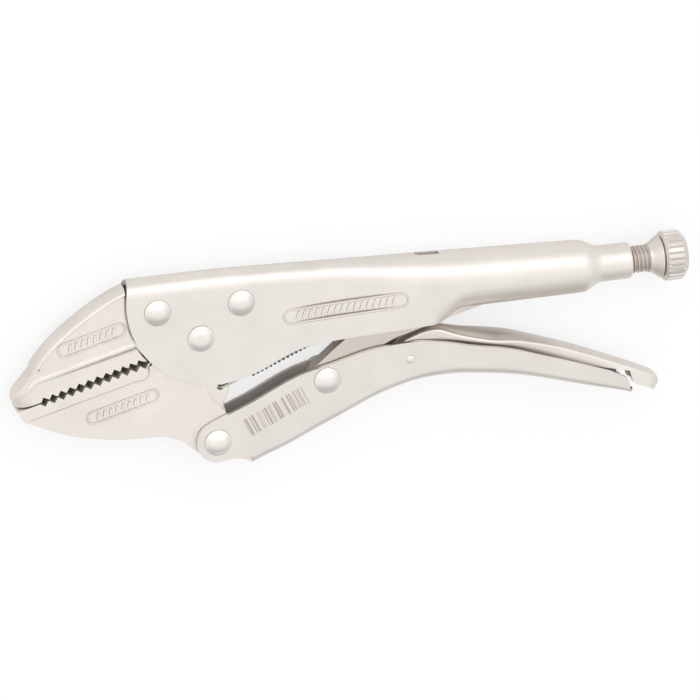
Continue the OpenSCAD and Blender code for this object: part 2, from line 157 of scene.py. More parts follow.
def make_piece(name, bm, body, nodes, material, sheet=0.0, bevel=0.0, segments=2, angle=38.0,
               thin_group=None, outward=None, inside=None, dark_rim=False):
    """Ends a mesh: turns its faces outward, brings it to metres, finishes its edges and fixes it.

    An open sheet has its outer side towards outward, in millimetres, and may have another
    material inside. The wall's thickness goes inward."""
    bmesh.ops.recalc_face_normals(bm, faces=bm.faces)
    if outward:
        if sum(face.calc_area() * face.normal.dot(Vector(outward)) for face in bm.faces) < 0:
            bmesh.ops.reverse_faces(bm, faces=bm.faces)
    for face in bm.faces:
        face.smooth = True
    bmesh.ops.scale(bm, vec=(MM, MM, MM), verts=bm.verts)
    mesh = bpy.data.meshes.new(name)
    bm.to_mesh(mesh)
    bm.free()
    mesh.set_sharp_from_angle(angle=math.radians(angle))
    piece = bpy.data.objects.new(name, mesh)
    bpy.context.scene.collection.objects.link(piece)
    if sheet:
        wall = piece.modifiers.new("wall", "SOLIDIFY")
        wall.thickness, wall.offset, wall.use_even_offset = sheet * MM, -1.0, True
        # On the sheets the second material is painted shade: it goes on the inside, and also on the cut rim
        # when dark_rim is set.
        wall.material_offset = 1 if inside else 0
        wall.material_offset_rim = 1 if dark_rim else 0
        if thin_group:
            group = piece.vertex_groups.new(name="wall")
            for index, weight in thin_group(mesh):
                group.add([index], weight, "REPLACE")
            wall.vertex_group = "wall"
    if bevel:
        edge = piece.modifiers.new("edge", "BEVEL")
        edge.width, edge.segments, edge.limit_method = bevel * MM, segments, "ANGLE"
        edge.angle_limit, edge.harden_normals = math.radians(angle), False
        level = piece.modifiers.new("level", "WEIGHTED_NORMAL")
        level.keep_sharp = False
    for finish in [material] + ([inside] if inside else []):
        mesh.materials.append(finish)
    if body:
        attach(piece, body)
    if nodes:
        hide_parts(*nodes)
    return piece


def new_group(name, inputs, outputs):
    """An empty shader group with number inputs, given as name and value, and its end nodes."""
    group = bpy.data.node_groups.new(name, "ShaderNodeTree")
    for label, kind, value in inputs:
        socket = group.interface.new_socket(label, in_out="INPUT", socket_type=kind)
        socket.default_value = value
    for label, kind in outputs:
        group.interface.new_socket(label, in_out="OUTPUT", socket_type=kind)
    return group, group.nodes.new("NodeGroupInput"), group.nodes.new("NodeGroupOutput")


def add_node(tree, kind, settings=None, **values):
    """A node with its settings, and numbers or links for its input sockets by name."""
    node = tree.nodes.new(kind)
    for key, value in (settings or {}).items():
        setattr(node, key, value)
    for key, value in values.items():
        socket = node.inputs[int(key[1:])] if key[0] == "i" and key[1:].isdigit() else \
            node.inputs[key.replace("_", " ")]
        if isinstance(value, bpy.types.NodeSocket):
            tree.links.new(value, socket)
        else:
            socket.default_value = value
    return node


def make_plating_group():
    """Satin plating: tumbled grain in height and roughness, cloudy tone, and brighter rubbed edges."""
    group, entry, leave = new_group(
        "SatinPlating",
        [("Colour", "NodeSocketColor", (0.8, 0.76, 0.72, 1)),
         ("Edge colour", "NodeSocketColor", (0.92, 0.9, 0.87, 1)),
         ("Roughness", "NodeSocketFloat", 0.36),
         ("Grain size", "NodeSocketFloat", 0.35),
         ("Grain", "NodeSocketFloat", 0.5),
         ("Edge width", "NodeSocketFloat", 0.35)],
        [("Colour", "NodeSocketColor"), ("Roughness", "NodeSocketFloat"), ("Height", "NodeSocketFloat")])
    place = add_node(group, "ShaderNodeTexCoord").outputs["Object"]
    per_metre = add_node(group, "ShaderNodeMath", {"operation": "DIVIDE"}, i0=1.0 / MM,
                         i1=entry.outputs["Grain size"]).outputs[0]
    grain = add_node(group, "ShaderNodeTexNoise", Vector=place, Scale=per_metre, Detail=3.0,
                     Roughness=0.65).outputs["Fac"]
    cloud = add_node(group, "ShaderNodeTexNoise", Vector=place, Scale=70.0, Detail=4.0,
                     Roughness=0.55).outputs["Fac"]
    speck = add_node(group, "ShaderNodeTexVoronoi", Vector=place, Scale=420.0).outputs["Distance"]
    pit = add_node(group, "ShaderNodeMapRange", Value=speck, From_Min=0.03, From_Max=0.1,
                   To_Min=1.0, To_Max=0.0).outputs["Result"]
    width = add_node(group, "ShaderNodeMath", {"operation": "MULTIPLY"}, i0=entry.outputs["Edge width"],
                     i1=MM).outputs[0]
    rounded = add_node(group, "ShaderNodeBevel", {"samples": 4}, Radius=width).outputs["Normal"]
    true_normal = add_node(group, "ShaderNodeNewGeometry").outputs["Normal"]
    facing = add_node(group, "ShaderNodeVectorMath", {"operation": "DOT_PRODUCT"}, i0=rounded,
                      i1=true_normal).outputs["Value"]
    edge = add_node(group, "ShaderNodeMapRange", Value=facing, From_Min=0.995, From_Max=0.9,
                    To_Min=0.0, To_Max=1.0).outputs["Result"]
    rubbed = add_node(group, "ShaderNodeMath", {"operation": "MULTIPLY", "use_clamp": True}, i0=edge,
                      i1=add_node(group, "ShaderNodeMapRange", Value=cloud, From_Min=0.35,
                                  From_Max=0.6).outputs["Result"]).outputs[0]
    tone = add_node(group, "ShaderNodeMapRange", Value=cloud, From_Min=0.3, From_Max=0.7,
                    To_Min=0.955, To_Max=1.03).outputs["Result"]
    toned = add_node(group, "ShaderNodeVectorMath", {"operation": "SCALE"}, i0=entry.outputs["Colour"],
                     Scale=tone).outputs["Vector"]
    colour = add_node(group, "ShaderNodeMix", {"data_type": "RGBA"}, i0=rubbed, i6=toned,
                      i7=entry.outputs["Edge colour"]).outputs[2]
    dulled = add_node(group, "ShaderNodeMapRange", Value=grain, From_Min=0.3, From_Max=0.7,
                      To_Min=-0.05, To_Max=0.06).outputs["Result"]
    rough = add_node(group, "ShaderNodeMath", {"operation": "ADD"}, i0=entry.outputs["Roughness"],
                     i1=dulled).outputs[0]
    polished = add_node(group, "ShaderNodeMath", {"operation": "MULTIPLY_ADD"}, i0=rubbed, i1=-0.08,
                        i2=rough).outputs[0]
    height = add_node(group, "ShaderNodeMath", {"operation": "MULTIPLY"}, i0=grain,
                      i1=entry.outputs["Grain"]).outputs[0]
    pitted = add_node(group, "ShaderNodeMath", {"operation": "MULTIPLY_ADD"}, i0=pit, i1=-0.12,
                      i2=height).outputs[0]
    group.links.new(colour, leave.inputs["Colour"])
    group.links.new(polished, leave.inputs["Roughness"])
    group.links.new(pitted, leave.inputs["Height"])
    return group


satin_plating = make_plating_group()


def plated_metal(name, colour, roughness, grain=0.5, grain_size=0.35, edge_width=0.35, bump=0.018,
                 metallic=1.0):
    """A metal with the satin plating group in its colour, roughness and bump."""
    material = bpy.data.materials.new(name)
    material.use_nodes = True
    tree = material.node_tree
    shader = tree.nodes["Principled BSDF"]
    finish = add_node(tree, "ShaderNodeGroup", {"node_tree": satin_plating}, Colour=(*colour, 1),
                      Roughness=roughness, Grain=grain, Grain_size=grain_size, Edge_width=edge_width)
    finish.inputs["Edge colour"].default_value = (*[min(1.0, c * 1.07) for c in colour], 1)
    relief = add_node(tree, "ShaderNodeBump", Strength=0.35, Distance=bump * MM * 4,
                      Height=finish.outputs["Height"])
    tree.links.new(finish.outputs["Colour"], shader.inputs["Base Color"])
    tree.links.new(finish.outputs["Roughness"], shader.inputs["Roughness"])
    tree.links.new(relief.outputs["Normal"], shader.inputs["Normal"])
    shader.inputs["Metallic"].default_value = metallic
    return material


SHEET_NICKEL = (0.86, 0.815, 0.765)
nickel_sheet = plated_metal("nickel_sheet", SHEET_NICKEL, 0.41)
# Inside faces of the folded sheets: a darker, duller nickel, painted shade for the shade inside the channels.
painted_shade_inside = plated_metal("nickel_sheet_painted_shade_inside", (0.5, 0.45, 0.415), 0.5, grain=0.8, metallic=0.45)

handle_low, handle_high = node_box("fixed_handle")
neck_end = handle_high.x
back_top = handle_high.y
tube_r = (handle_high.z - handle_low.z) / 2
mid_z = tube_r
axis_y = node_middle("adjusting_screw").y
SHEET = 2.0
WALL_HW = 5.6
TUBE_X, CHANNEL_X, CLOSING_X = 96.0, 42.0, 58.0
TUBE_END_R, NECK_R = tube_r - 0.2, 6.5
SHOULDER_X = neck_end - 17.0
LOBE_R = 32.0
LOBE = (LOBE_R - 26.0, LOBE_R - 17.9)
LINK_SLOT_HW = 3.6
SLOT_END = node_box("toggle_link")[1].x - 3.0
TAB_X, TAB_W, TAB_SLOT, TAB_SLOT_HW, TAB_SLOT_ROUND = 88.0, 4.0, 8.8, 1.6, 1.1
BACK_FALL_X = 10.0
lower_edge = [(15.9, -16.3), (22, -14.2), (28.7, -11.0), (35, -8.5), (41, -7.4), (54, -6.4), (72, -5.2),
              (84, -4.2), (TUBE_X, -3.2)]


def back_height(x):
    """The back is level over the jaw, then falls straight to the tube's end."""
    past = x - BACK_FALL_X
    fall = max(0.0, past + 2.8 * math.exp(-(past / 12) ** 2))
    return mix(back_top, axis_y + TUBE_END_R, min(1.0, fall / (SHOULDER_X - BACK_FALL_X)))


def wall_half(x):
    """Half the width outside: narrow over the jaw, swelling to the tube, then tapering a little."""
    if x < TUBE_X:
        return mix(WALL_HW, tube_r, ease((x - CHANNEL_X) / (TUBE_X - CHANNEL_X)))
    return mix(tube_r, TUBE_END_R, min(1.0, (x - TUBE_X) / (SHOULDER_X - TUBE_X)))


def handle_row(x):
    """Half of the fold at a station, from the back's middle to the lower edge, as (height, half width)."""
    closing = ease((x - CLOSING_X) / (TUBE_X - CLOSING_X))
    shrink = (TUBE_END_R - NECK_R) * ease((x - SHOULDER_X + 1.5) / 7.6)
    top, half = back_height(x) - shrink, wall_half(x) - shrink
    low = mix(-40.0, axis_y - TUBE_END_R + shrink, closing)
    round_low = mix(2.2, half, closing) * 0.999
    into_end = max(0.0, x - SLOT_END + LINK_SLOT_HW) / LINK_SLOT_HW
    slot = max(0.07, LINK_SLOT_HW * math.sqrt(max(0.0, 1 - into_end ** 2)))
    edge = curve_at(lower_edge, x)
    round_top = min(half, (top - low) / 2)
    flat = half - round_top
    corner = [(top - round_top + round_top * math.cos(a), flat + round_top * math.sin(a))
              for a in (math.pi / 2 * i / 12 for i in range(13))]
    wall = [corner[-1]]
    rest = [(low + round_low, half)] + [
        (low + round_low - round_low * math.sin(a), half - round_low + round_low * math.cos(a))
        for a in (math.pi / 2 * i / 24 for i in range(1, 25))] + [(low, 0.0)]
    for point in rest:
        before = wall[-1]
        if point[0] < edge and x < TUBE_X:
            u = (before[0] - edge) / (before[0] - point[0])
            wall.append((edge, mix(before[1], point[1], u)))
            break
        if point[1] < slot:
            u = (before[1] - slot) / (before[1] - point[1])
            wall.append((mix(before[0], point[0], u), slot))
            break
        wall.append(point)
    middle = [(top, 0.0), (top - round_top + math.sqrt(round_top ** 2 - TAB_SLOT_HW ** 2), TAB_SLOT_HW)]
    corner = [p for p in corner if p[1] > 2.8]
    return middle + resample(corner, 8) + resample(wall, 15)[1:]


def handle_rows():
    """Rows of the whole fold. The first ones lean so that they follow the round front edge."""
    rows = []
    for i in range(15):
        u = i / 14
        angle = math.radians(mix(225, 286, u))
        bottom = (LOBE[0] + LOBE_R * math.cos(angle), LOBE[1] + LOBE_R * math.sin(angle))
        top_x = mix(-24.6, bottom[0], u)
        half = handle_row(max(top_x, -20))
        top_y, wall_y = half[0][0], half[9][0]
        row = []
        for y, z in half:
            if z >= WALL_HW - 0.01:
                y = mix(wall_y, bottom[1], (wall_y - y) / (wall_y - half[-1][0]))
            down = (top_y - y) / (top_y - bottom[1])
            edge_x = LOBE[0] - math.sqrt(LOBE_R ** 2 - (y - LOBE[1]) ** 2)
            row.append((mix(edge_x, mix(top_x, bottom[0], down), u ** 0.6 if i else 0.0), y, z))
        rows.append(row)
    stations = [18, 21, 25, 29, 33, 37, 41, 45, 49, 53, 57, 60, 63, 66, 69, 72, 75, 77.5, TAB_X - TAB_SLOT,
                81, 83, 85, TAB_X, 90, 92, 94, TUBE_X, 99, 103, 107, 111]
    stations += [SLOT_END - LINK_SLOT_HW * (1 - math.sin(math.radians(a))) for a in (0, 20, 40, 60, 75, 90)]
    stations += [SLOT_END + 4, 124, 130, 135, SHOULDER_X - 3]
    stations += [SHOULDER_X - 1.5 + i * 0.76 for i in range(11)] + [neck_end - 8, neck_end - 4]
    rows += [[(x, y, z) for y, z in handle_row(x)] for x in stations]
    rows += [[(x, axis_y + (y - axis_y) * k, z * k) for y, z in handle_row(neck_end - 2)]
             for x, k in ((neck_end - 1.2, 1.0), (neck_end - 0.5, 0.985), (neck_end, 0.94))]
    return [[(x, y, mid_z - z) for x, y, z in reversed(row)] + [(x, y, mid_z + z) for x, y, z in row[1:]]
            for row in rows]


bm = bmesh.new()
grid = draw_rows(bm, handle_rows())
middle = len(grid[0]) // 2
for row in grid:
    if abs(row[middle].co.x - TAB_X + TAB_SLOT) < 0.01:
        for v in (row[middle - 1], row[middle + 1]):
            v.co.x += TAB_SLOT_ROUND


def in_tab_slot(place):
    return TAB_X - TAB_SLOT - 0.1 < place.x < TAB_X + 0.1 and abs(place.z - mid_z) < TAB_SLOT_HW + 0.2 \
        and place.y > axis_y


slot_faces = [f for f in bm.faces if all(in_tab_slot(v.co) for v in f.verts)]
bmesh.ops.delete(bm, geom=slot_faces, context="FACES")


def neck_thinning(mesh):
    """The wall is thinner in the neck, where the thread is cut."""
    return [(v.index, mix(1.0, 0.71, ease((v.co.x / MM - SHOULDER_X + 4) / 5))) for v in mesh.vertices]


# The cut rim is painted dark as well: painted shade along the handle's edges.
make_piece("fixed_handle_shell", bm, "fixed_side", ["fixed_handle"], nickel_sheet,
           sheet=SHEET, bevel=0.3, thin_group=neck_thinning, outward=(0, 1, 0), inside=painted_shade_inside,
           dark_rim=True)


def draw_plate(bm, outline, thickness, holes=(), middle_z=None):
    """A flat plate about the mid-plane, with round holes given as (centre, radius)."""
    level = (mid_z if middle_z is None else middle_z) - thickness / 2
    loops = [outline] + [arc(c, r, 0, 360, 20)[:-1] for c, r in holes]
    edges = []
    for loop in loops:
        verts = [bm.verts.new((x, y, level)) for x, y in loop]
        edges += [bm.edges.new(pair) for pair in zip(verts, verts[1:] + verts[:1])]
    made = bmesh.ops.triangle_fill(bm, use_beauty=True, use_dissolve=False, edges=edges)["geom"]
    faces = [g for g in made if isinstance(g, bmesh.types.BMFace)]
    grown = bmesh.ops.extrude_face_region(bm, geom=faces, use_keep_orig=True)["geom"]
    moved = [g for g in grown if isinstance(g, bmesh.types.BMVert)]
    bmesh.ops.translate(bm, vec=(0, 0, thickness), verts=moved)


EYE_Y, EYE_R = 13.0, 1.25
half_tab = TAB_W / 2
tab = [(half_tab, back_height(TAB_X) - 0.5), (-half_tab, back_height(TAB_X) - 0.5)]
tab += arc((0, EYE_Y), half_tab, 180, 360, 12)
bm = bmesh.new()
draw_plate(bm, tab, SHEET, holes=[((0, EYE_Y), EYE_R)], middle_z=0)
bmesh.ops.rotate(bm, verts=bm.verts, cent=(0, 0, 0), matrix=Matrix.Rotation(math.pi / 2, 3, "Y"))
bmesh.ops.translate(bm, verts=bm.verts, vec=(TAB_X + SHEET / 2 - 0.1, 0, mid_z))
make_piece("fixed_handle_spring_tab", bm, "fixed_side", None, nickel_sheet, bevel=0.2,
           angle=40)

# ---------------------------------------------------------------------------
# Upper jaw: a drop forging held between the handle's walls by two rivets. Its cheek has a
# raised rim and a recessed panel, a step under the panel, and a band of milled V teeth. The
# back is round, and the plain stadium frame stands where a maker would put a name.
# ---------------------------------------------------------------------------
JAW_T, PANEL_DEEP = 10.4, 0.62
BITE = math.radians(14.5)
BITE_START = Vector((0.0, -1.8))
ALONG_BITE = Vector((-math.cos(BITE), -math.sin(BITE)))
OFF_BITE = Vector((-math.sin(BITE), math.cos(BITE)))
TOOTH_PITCH, TOOTH_DEPTH, TOOTH_COUNT = 3.4, 1.5, 12
FIRST_TOOTH = 21.2
JAW_EDGE_R = LOBE_R + 0.6
nickel_forging = plated_metal("nickel_forging", (0.88, 0.83, 0.775), 0.4, grain=0.9, grain_size=0.5,
                              edge_width=0.45, bump=0.03)
jaw_back = [(17.0, 28.6), (19.0, 28.5), (23.6, 27.9), (30.8, 26.2), (38.3, 23.9), (46.2, 20.7), (51.5, 17.9),
            (54.3, 16.1), (57.2, 13.9), (60.2, 11.5), (63.2, 9.0), (65.3, 7.6), (67.4, 6.1), (68.6, 4.6),
            (69.4, 2.9)]


def on_jaw(s, t):
    """Point at s along the parting line from the pivot and t off it."""
    point = BITE_START + ALONG_BITE * s + OFF_BITE * t
    return point.x, point.y


def tooth_stations():
    """Places along the parting line where the teeth's edges and roots lie, with each one's depth."""
    stations = []
    for i in range(TOOTH_COUNT):
        s = FIRST_TOOTH + i * TOOTH_PITCH
        stations += [(s - 0.46 * TOOTH_PITCH, 0.0), (s, TOOTH_DEPTH), (s + 0.46 * TOOTH_PITCH, 0.0)]
    return stations


def cheek_profile(s, high, tooth):
    """Half section of the upper jaw from the parting line to the back, as (off the line, half width)."""
    fade = 1 - ease((s - 24) / 38)
    full = JAW_T / 2 - 0.02
    nose = math.sqrt(max(0.09, 1 - (max(0.0, s - 62.4) / 7.2) ** 2))
    band = mix(full - 0.12, full - 1.4, fade)
    panel = full - PANEL_DEEP * ease((high - 8.8) / 3.6)
    step, ridge = mix(6.8, 5.6, fade), 7.3
    low = [(0.15 + tooth, band), (2.6, band), (4.2, band), (step, band),
           (mix(step, ridge, 0.3), mix(band, full, 0.1)), (mix(step, ridge, 0.75), mix(band, full, 0.62)),
           (ridge, full - 0.04), (7.65, full), (8.2, full), (8.55, full - 0.08), (8.95, panel)]
    rim = [(2.2, panel), (1.95, mix(panel, full, 0.8)), (1.7, full * 0.985), (1.45, full * 0.965),
           (1.15, full * 0.93), (0.85, full * 0.87), (0.55, full * 0.77), (0.3, full * 0.61),
           (0.1, full * 0.37), (0.02, full * 0.14)]
    scale = min(1.0, high / 12.5)
    first = low[-1][0] * scale
    last = high - rim[0][0] * scale
    between = [(mix(first, last, k / 5), panel) for k in range(1, 5)] if last > first else \
        [(first, panel)] * 4
    points = [(t * scale if i else t, w) for i, (t, w) in enumerate(low)] + between
    points += [(max(first, high - t * scale), w) for t, w in rim]
    return [(t, w * nose) for t, w in points]


def jaw_ring(s, tooth):
    """Closed section of the upper jaw. Rows near the handle follow its round front edge."""
    high = curve_at(jaw_back, s)
    centre = Vector(LOBE) - BITE_START
    c_s, c_t = centre.dot(ALONG_BITE), centre.dot(OFF_BITE)
    lean = (1 - ease((s - first_row) / 22)) ** 2
    bulge = ease((s - 50) / 20)
    ring = []
    for t, w in cheek_profile(s, high, tooth):
        edge = c_s + math.sqrt(JAW_EDGE_R ** 2 - (t - c_t) ** 2)
        rounding = 0.055 * (t - 5.3) ** 2 * bulge if t < 12 else 0.0
        x, y = on_jaw(s + (edge - first_row) * lean - rounding, t)
        ring.append((max(x, cad_low.x / MM + 0.03), min(y, back_top - 0.02), w))
    return [(x, y, mid_z + w) for x, y, w in ring] + [(x, y, mid_z - w) for x, y, w in reversed(ring)]


first_row = FIRST_TOOTH - 0.5 * TOOTH_PITCH - 0.6
stations = [(first_row, 0.0)] + tooth_stations()
stations += [(s, 0.0) for s in (62, 63.2, 64.3, 65.3, 66.3, 67.2, 67.9, 68.5, 69.0, 69.3)]
milled_teeth = plated_metal("milled_teeth", (0.42, 0.375, 0.34), 0.6, grain=0.6, edge_width=0.1,
                            metallic=0.3)


def mark_teeth(bm, side):
    """The faces of the V notches are bare milled steel, the second material of a jaw."""
    for face in bm.faces:
        off = [(Vector(v.co.xy) - BITE_START).dot(OFF_BITE) * side for v in face.verts]
        along = [(Vector(v.co.xy) - BITE_START).dot(ALONG_BITE) for v in face.verts]
        if max(off) < TOOTH_DEPTH + 0.45 and max(off) - min(off) > 0.5 and abs(face.normal.z) < 0.3 \
                and min(along) > first_row + 0.2 and max(along) < 62:
            face.material_index = 1


bm = bmesh.new()
rings = draw_rows(bm, [jaw_ring(s, tooth) for s, tooth in stations], closed=True)
for ring in (rings[0], rings[-1]):
    bmesh.ops.contextual_create(bm, geom=ring)
bm.normal_update()
mark_teeth(bm, 1)


def smooth_line(points, steps=4, closed=True):
    """A smooth line through the points of an outline, sharp where a point is given twice."""
    line, count = [], len(points)
    for i in range(count if closed else count - 1):
        p0, p1 = Vector(points[i - 1 if closed or i else 0]), Vector(points[i])
        p2 = Vector(points[(i + 1) % count])
        p3 = Vector(points[(i + 2) % count if closed else min(i + 2, count - 1)])
        if (p2 - p1).length < 1e-6:
            continue
        k0 = (p2 - (p1 if (p1 - p0).length < 1e-6 else p0)) * 0.5
        k1 = ((p2 if (p3 - p2).length < 1e-6 else p3) - p1) * 0.5
        for j in range(steps):
            u = j / steps
            line.append((2 * u ** 3 - 3 * u ** 2 + 1) * p1 + (u ** 3 - 2 * u ** 2 + u) * k0
                        + (3 * u ** 2 - 2 * u ** 3) * p2 + (u ** 3 - u ** 2) * k1)
    if not closed:
        line.append(Vector(points[-1]))
    return [(p.x, p.y) for p in line]


def stadium(centre, length, width, turn, count=8):
    """Outline with two straight sides and two round ends."""
    points = arc((length / 2 - width / 2, 0), width / 2, -90, 90, count)
    points += arc((-length / 2 + width / 2, 0), width / 2, 90, 270, count)
    c, s = math.cos(turn), math.sin(turn)
    return [(centre[0] + x * c - y * s, centre[1] + x * s + y * c) for x, y in points]


def draw_raised(bm, rows, dark=False):
    """A closed strip through the rows. Its faces take the second material if it is dark."""
    count = len(bm.faces)
    draw_rows(bm, rows, closed=True)
    bm.faces.ensure_lookup_table()
    for face in bm.faces[count:] if dark else ():
        face.material_index = 1


BAR_W, BAR_STEP, BAR_SLANT = 0.8, 2.3, math.radians(68)


def draw_frame(bm, centre, length, width, turn, level, proud, line=0.6):
    """A raised stadium frame on both cheeks, filled with plain slanting bars.

    The cheek's height off the mid-plane at x is level(x)."""
    for side in (1, -1):
        # Each cheek gets the raised frame and, under it, a wider flat strip of the second material: painted
        # shade round the frame's foot.
        for dark, section in (
                (False, ((0.0, -0.15), (0.0, proud * 0.6), (0.12, proud), (line - 0.12, proud),
                         (line, proud * 0.6), (line, -0.15))),
                (True, ((-0.2, -0.1), (-0.2, 0.03), (line + 0.2, 0.03), (line + 0.2, -0.1)))):
            draw_raised(bm, [[(x, y, mid_z + side * (level(x) + lift))
                              for x, y in stadium(centre, length - 2 * grow, width - 2 * grow, turn)]
                             for grow, lift in section], dark)
        bars = int((length - 6) / BAR_STEP)
        for i in range(bars):
            off = (i - (bars - 1) / 2) * BAR_STEP
            at = (centre[0] + off * math.cos(turn), centre[1] + off * math.sin(turn))
            tilt, bar = turn + BAR_SLANT, width - 2.4
            draw_plate(bm, stadium(at, bar, BAR_W, tilt, 3), proud + 0.15,
                       middle_z=mid_z + side * (level(at[0]) + (proud - 0.15) / 2))
            # A flat ring of the second material round each bar's foot: painted shade.
            foot = [[(x, y, mid_z + side * (level(at[0]) + 0.04))
                     for x, y in stadium(at, bar + grow, BAR_W + grow, tilt, 3)] for grow in (-0.1, 0.36)]
            draw_raised(bm, foot, dark=True)


JAW_ROOT = [(-29, 17.2), (-29, 3), (-22, 2.4), (-12, 4.2), (0, 10.6), (12, 6), (22, 5), (23, 14), (22, 16.4),
            (0, 17.2)]
draw_plate(bm, JAW_ROOT, 7.1)
make_piece("upper_jaw_forging", bm, "fixed_side", ["upper_jaw"], nickel_forging,
           bevel=0.16, segments=2, angle=42, inside=milled_teeth)

# Painted shade: a darker, duller nickel for the thin dark bands at the foot of the frames and bars and round
# the rivet heads.
painted_shade_corners = plated_metal("nickel_painted_shade_corners", (0.56, 0.5, 0.455), 0.5, grain=0.6, edge_width=0.1,
                              metallic=0.7)
bm = bmesh.new()
draw_frame(bm, (-38.6, 3.9), 25.5, 5.4, BITE, lambda x: JAW_T / 2 - PANEL_DEEP - 0.02, 0.45)
make_piece("upper_jaw_stadium_frame", bm, "fixed_side", None, nickel_forging, angle=40,
           inside=painted_shade_corners)

# ---------------------------------------------------------------------------
# Lower jaw: a drop forging that turns on the jaw pivot between the handle's walls. Its body is
# thin, and a pad as thick as the upper jaw carries the teeth. A thin tab behind the pivot has
# the hole for the spring.
# ---------------------------------------------------------------------------
handle_pivot = node_middle("handle_pivot_rivet")
SPRING_HOLE = (handle_pivot.x + 2.6, -20.2)
BITE_GAP = 0.3
under_teeth = -BITE_GAP - TOOTH_DEPTH - 0.4
PAD_START, BODY_T, JAW_EAR_R, JAW_LOBE_R, RIVET_BORE = 18.9, 6.6, 6.5, 9.4, 3.06
body_edge = [on_jaw(PAD_START, under_teeth)] * 2 + [on_jaw(66.5, under_teeth)] * 2
body_edge += [(-65.2, -21.2), (-63.6, -23.9), (-60.4, -25.4), (-51.6, -29.5), (-42.9, -32.4), (-31.9, -34.5),
             (-25.3, -35.1), (-16.4, -35.5), (-12, -36.3), (-7.7, -38.4), (-4.1, -41.8), (-1.0, -44.4)]
body_edge = smooth_line(body_edge, 4, closed=False)
body_edge += arc((handle_pivot.x, handle_pivot.y), JAW_EAR_R, 226, 385, 14)
body_edge += [(8.1, -28.9), (6.1, -26.8), (4.7, -25.2), (2.8, -23.0), (1.9, -20.7), (2.0, -17), (6.5, -7.0)]
body_edge += arc((0, 0), JAW_LOBE_R, -40, 118, 12)
bm = bmesh.new()
draw_plate(bm, body_edge, BODY_T,
           holes=[((0, 0), RIVET_BORE), ((handle_pivot.x, handle_pivot.y), RIVET_BORE)])
make_piece("lower_jaw_forging", bm, "lower_jaw_side", ["lower_jaw"], nickel_forging,
           bevel=0.9, segments=4, angle=50)


def pad_outline(inset):
    """Outline of the tooth pad, with its plain edges moved in."""
    teeth = [on_jaw(s, -BITE_GAP - tooth) for s, tooth in reversed(tooth_stations())]
    low = [(-61.0, -23.2), (-46, -19.35), (-30.2, -15.3), (-24.5, -13.8)]
    low = [(x + OFF_BITE.x * inset, y + OFF_BITE.y * inset) for x, y in low]
    nose = [on_jaw(68.6, -BITE_GAP), (-65.6, -20.6), (-64.4, -22.7), (-62.6, -23.6)]
    end = arc((-22.0, -10.1), 3.5 - inset, -100, 30, 8)
    lower = smooth_line((nose + low)[::-1], 3, closed=False)
    return teeth + [on_jaw(PAD_START, -BITE_GAP)] + end[::-1] + lower


PAD_BEVEL = 0.75
levels = [(-JAW_T / 2, PAD_BEVEL), (PAD_BEVEL - JAW_T / 2, 0.0), (JAW_T / 2 - PAD_BEVEL, 0.0),
          (JAW_T / 2, PAD_BEVEL)]
pad_rows = [[(x, y, mid_z + z) for x, y in pad_outline(inset)] for z, inset in levels]
bm = bmesh.new()
rings = draw_rows(bm, pad_rows, closed=True)
for ring in (rings[0], rings[-1]):
    bmesh.ops.triangle_fill(bm, use_beauty=True, use_dissolve=False,
                            edges=[bm.edges.get(pair) for pair in zip(ring, ring[1:] + ring[:1])])
bm.normal_update()
mark_teeth(bm, -1)
make_piece("lower_jaw_tooth_pad", bm, "lower_jaw_side", None, nickel_forging,
           bevel=0.22, segments=3, angle=30, inside=milled_teeth)

SPRING_TAB_T, SPRING_HOLE_R = 3.4, 1.2
tab_edge = [(0.5, -15), (9.9, -15), (9.9, -19), (9.8, -22.3), (9.0, -24.5), (7.9, -26.1), (7.9, -27.4),
            (8.6, -28.8), (9.3, -31.5), (2, -31.5)]
bm = bmesh.new()
draw_plate(bm, tab_edge, SPRING_TAB_T, holes=[(SPRING_HOLE, SPRING_HOLE_R)])
make_piece("lower_jaw_spring_tab", bm, "lower_jaw_side", None, nickel_forging,
           bevel=0.25, segments=2, angle=40)

bm = bmesh.new()
draw_frame(bm, (-28.5, -22.6), 27, 5.0, BITE, lambda x: BODY_T / 2, 0.45)
make_piece("lower_jaw_stadium_frame", bm, "lower_jaw_side", None, nickel_forging, angle=40,
           inside=painted_shade_corners)

# ---------------------------------------------------------------------------
# Frame on the fixed handle: pressed out of both walls of the sheet before it is folded, and
# plated with it. It is plain, like those on the jaws.
# ---------------------------------------------------------------------------
bm = bmesh.new()
draw_frame(bm, (52.3, 5.1), 45, 5.6, math.radians(3), wall_half, 0.3, line=0.5)
make_piece("fixed_handle_stadium_frame", bm, "fixed_side", None, nickel_sheet, angle=40,
           inside=painted_shade_corners)

# ---------------------------------------------------------------------------
# Rivets: steel, set cold. Each has a low dome on one side and a flat-topped head on the other,
# and is brighter than the sheet where the setting tool has pressed it.
# ---------------------------------------------------------------------------
HEAD_R, SHANK_R = 4.65, 3.0
DOME, SEAT = 2.3, 0.2
nickel_rivet = plated_metal("nickel_rivet", (0.89, 0.855, 0.81), 0.3, grain=0.14, grain_size=0.5,
                            edge_width=0.3)


def spin_about(bm, profile, centre, axis, steps):
    """Turns a line of points about an axis into a closed body."""
    verts = [bm.verts.new(p) for p in profile]
    edges = [bm.edges.new(pair) for pair in zip(verts, verts[1:])]
    bmesh.ops.spin(bm, geom=verts + edges, cent=centre, axis=axis, dvec=(0, 0, 0), angle=math.tau,
                   steps=steps,
                   use_merge=True, use_normal_flip=False, use_duplicate=False)
    bmesh.ops.remove_doubles(bm, verts=bm.verts, dist=1e-4)


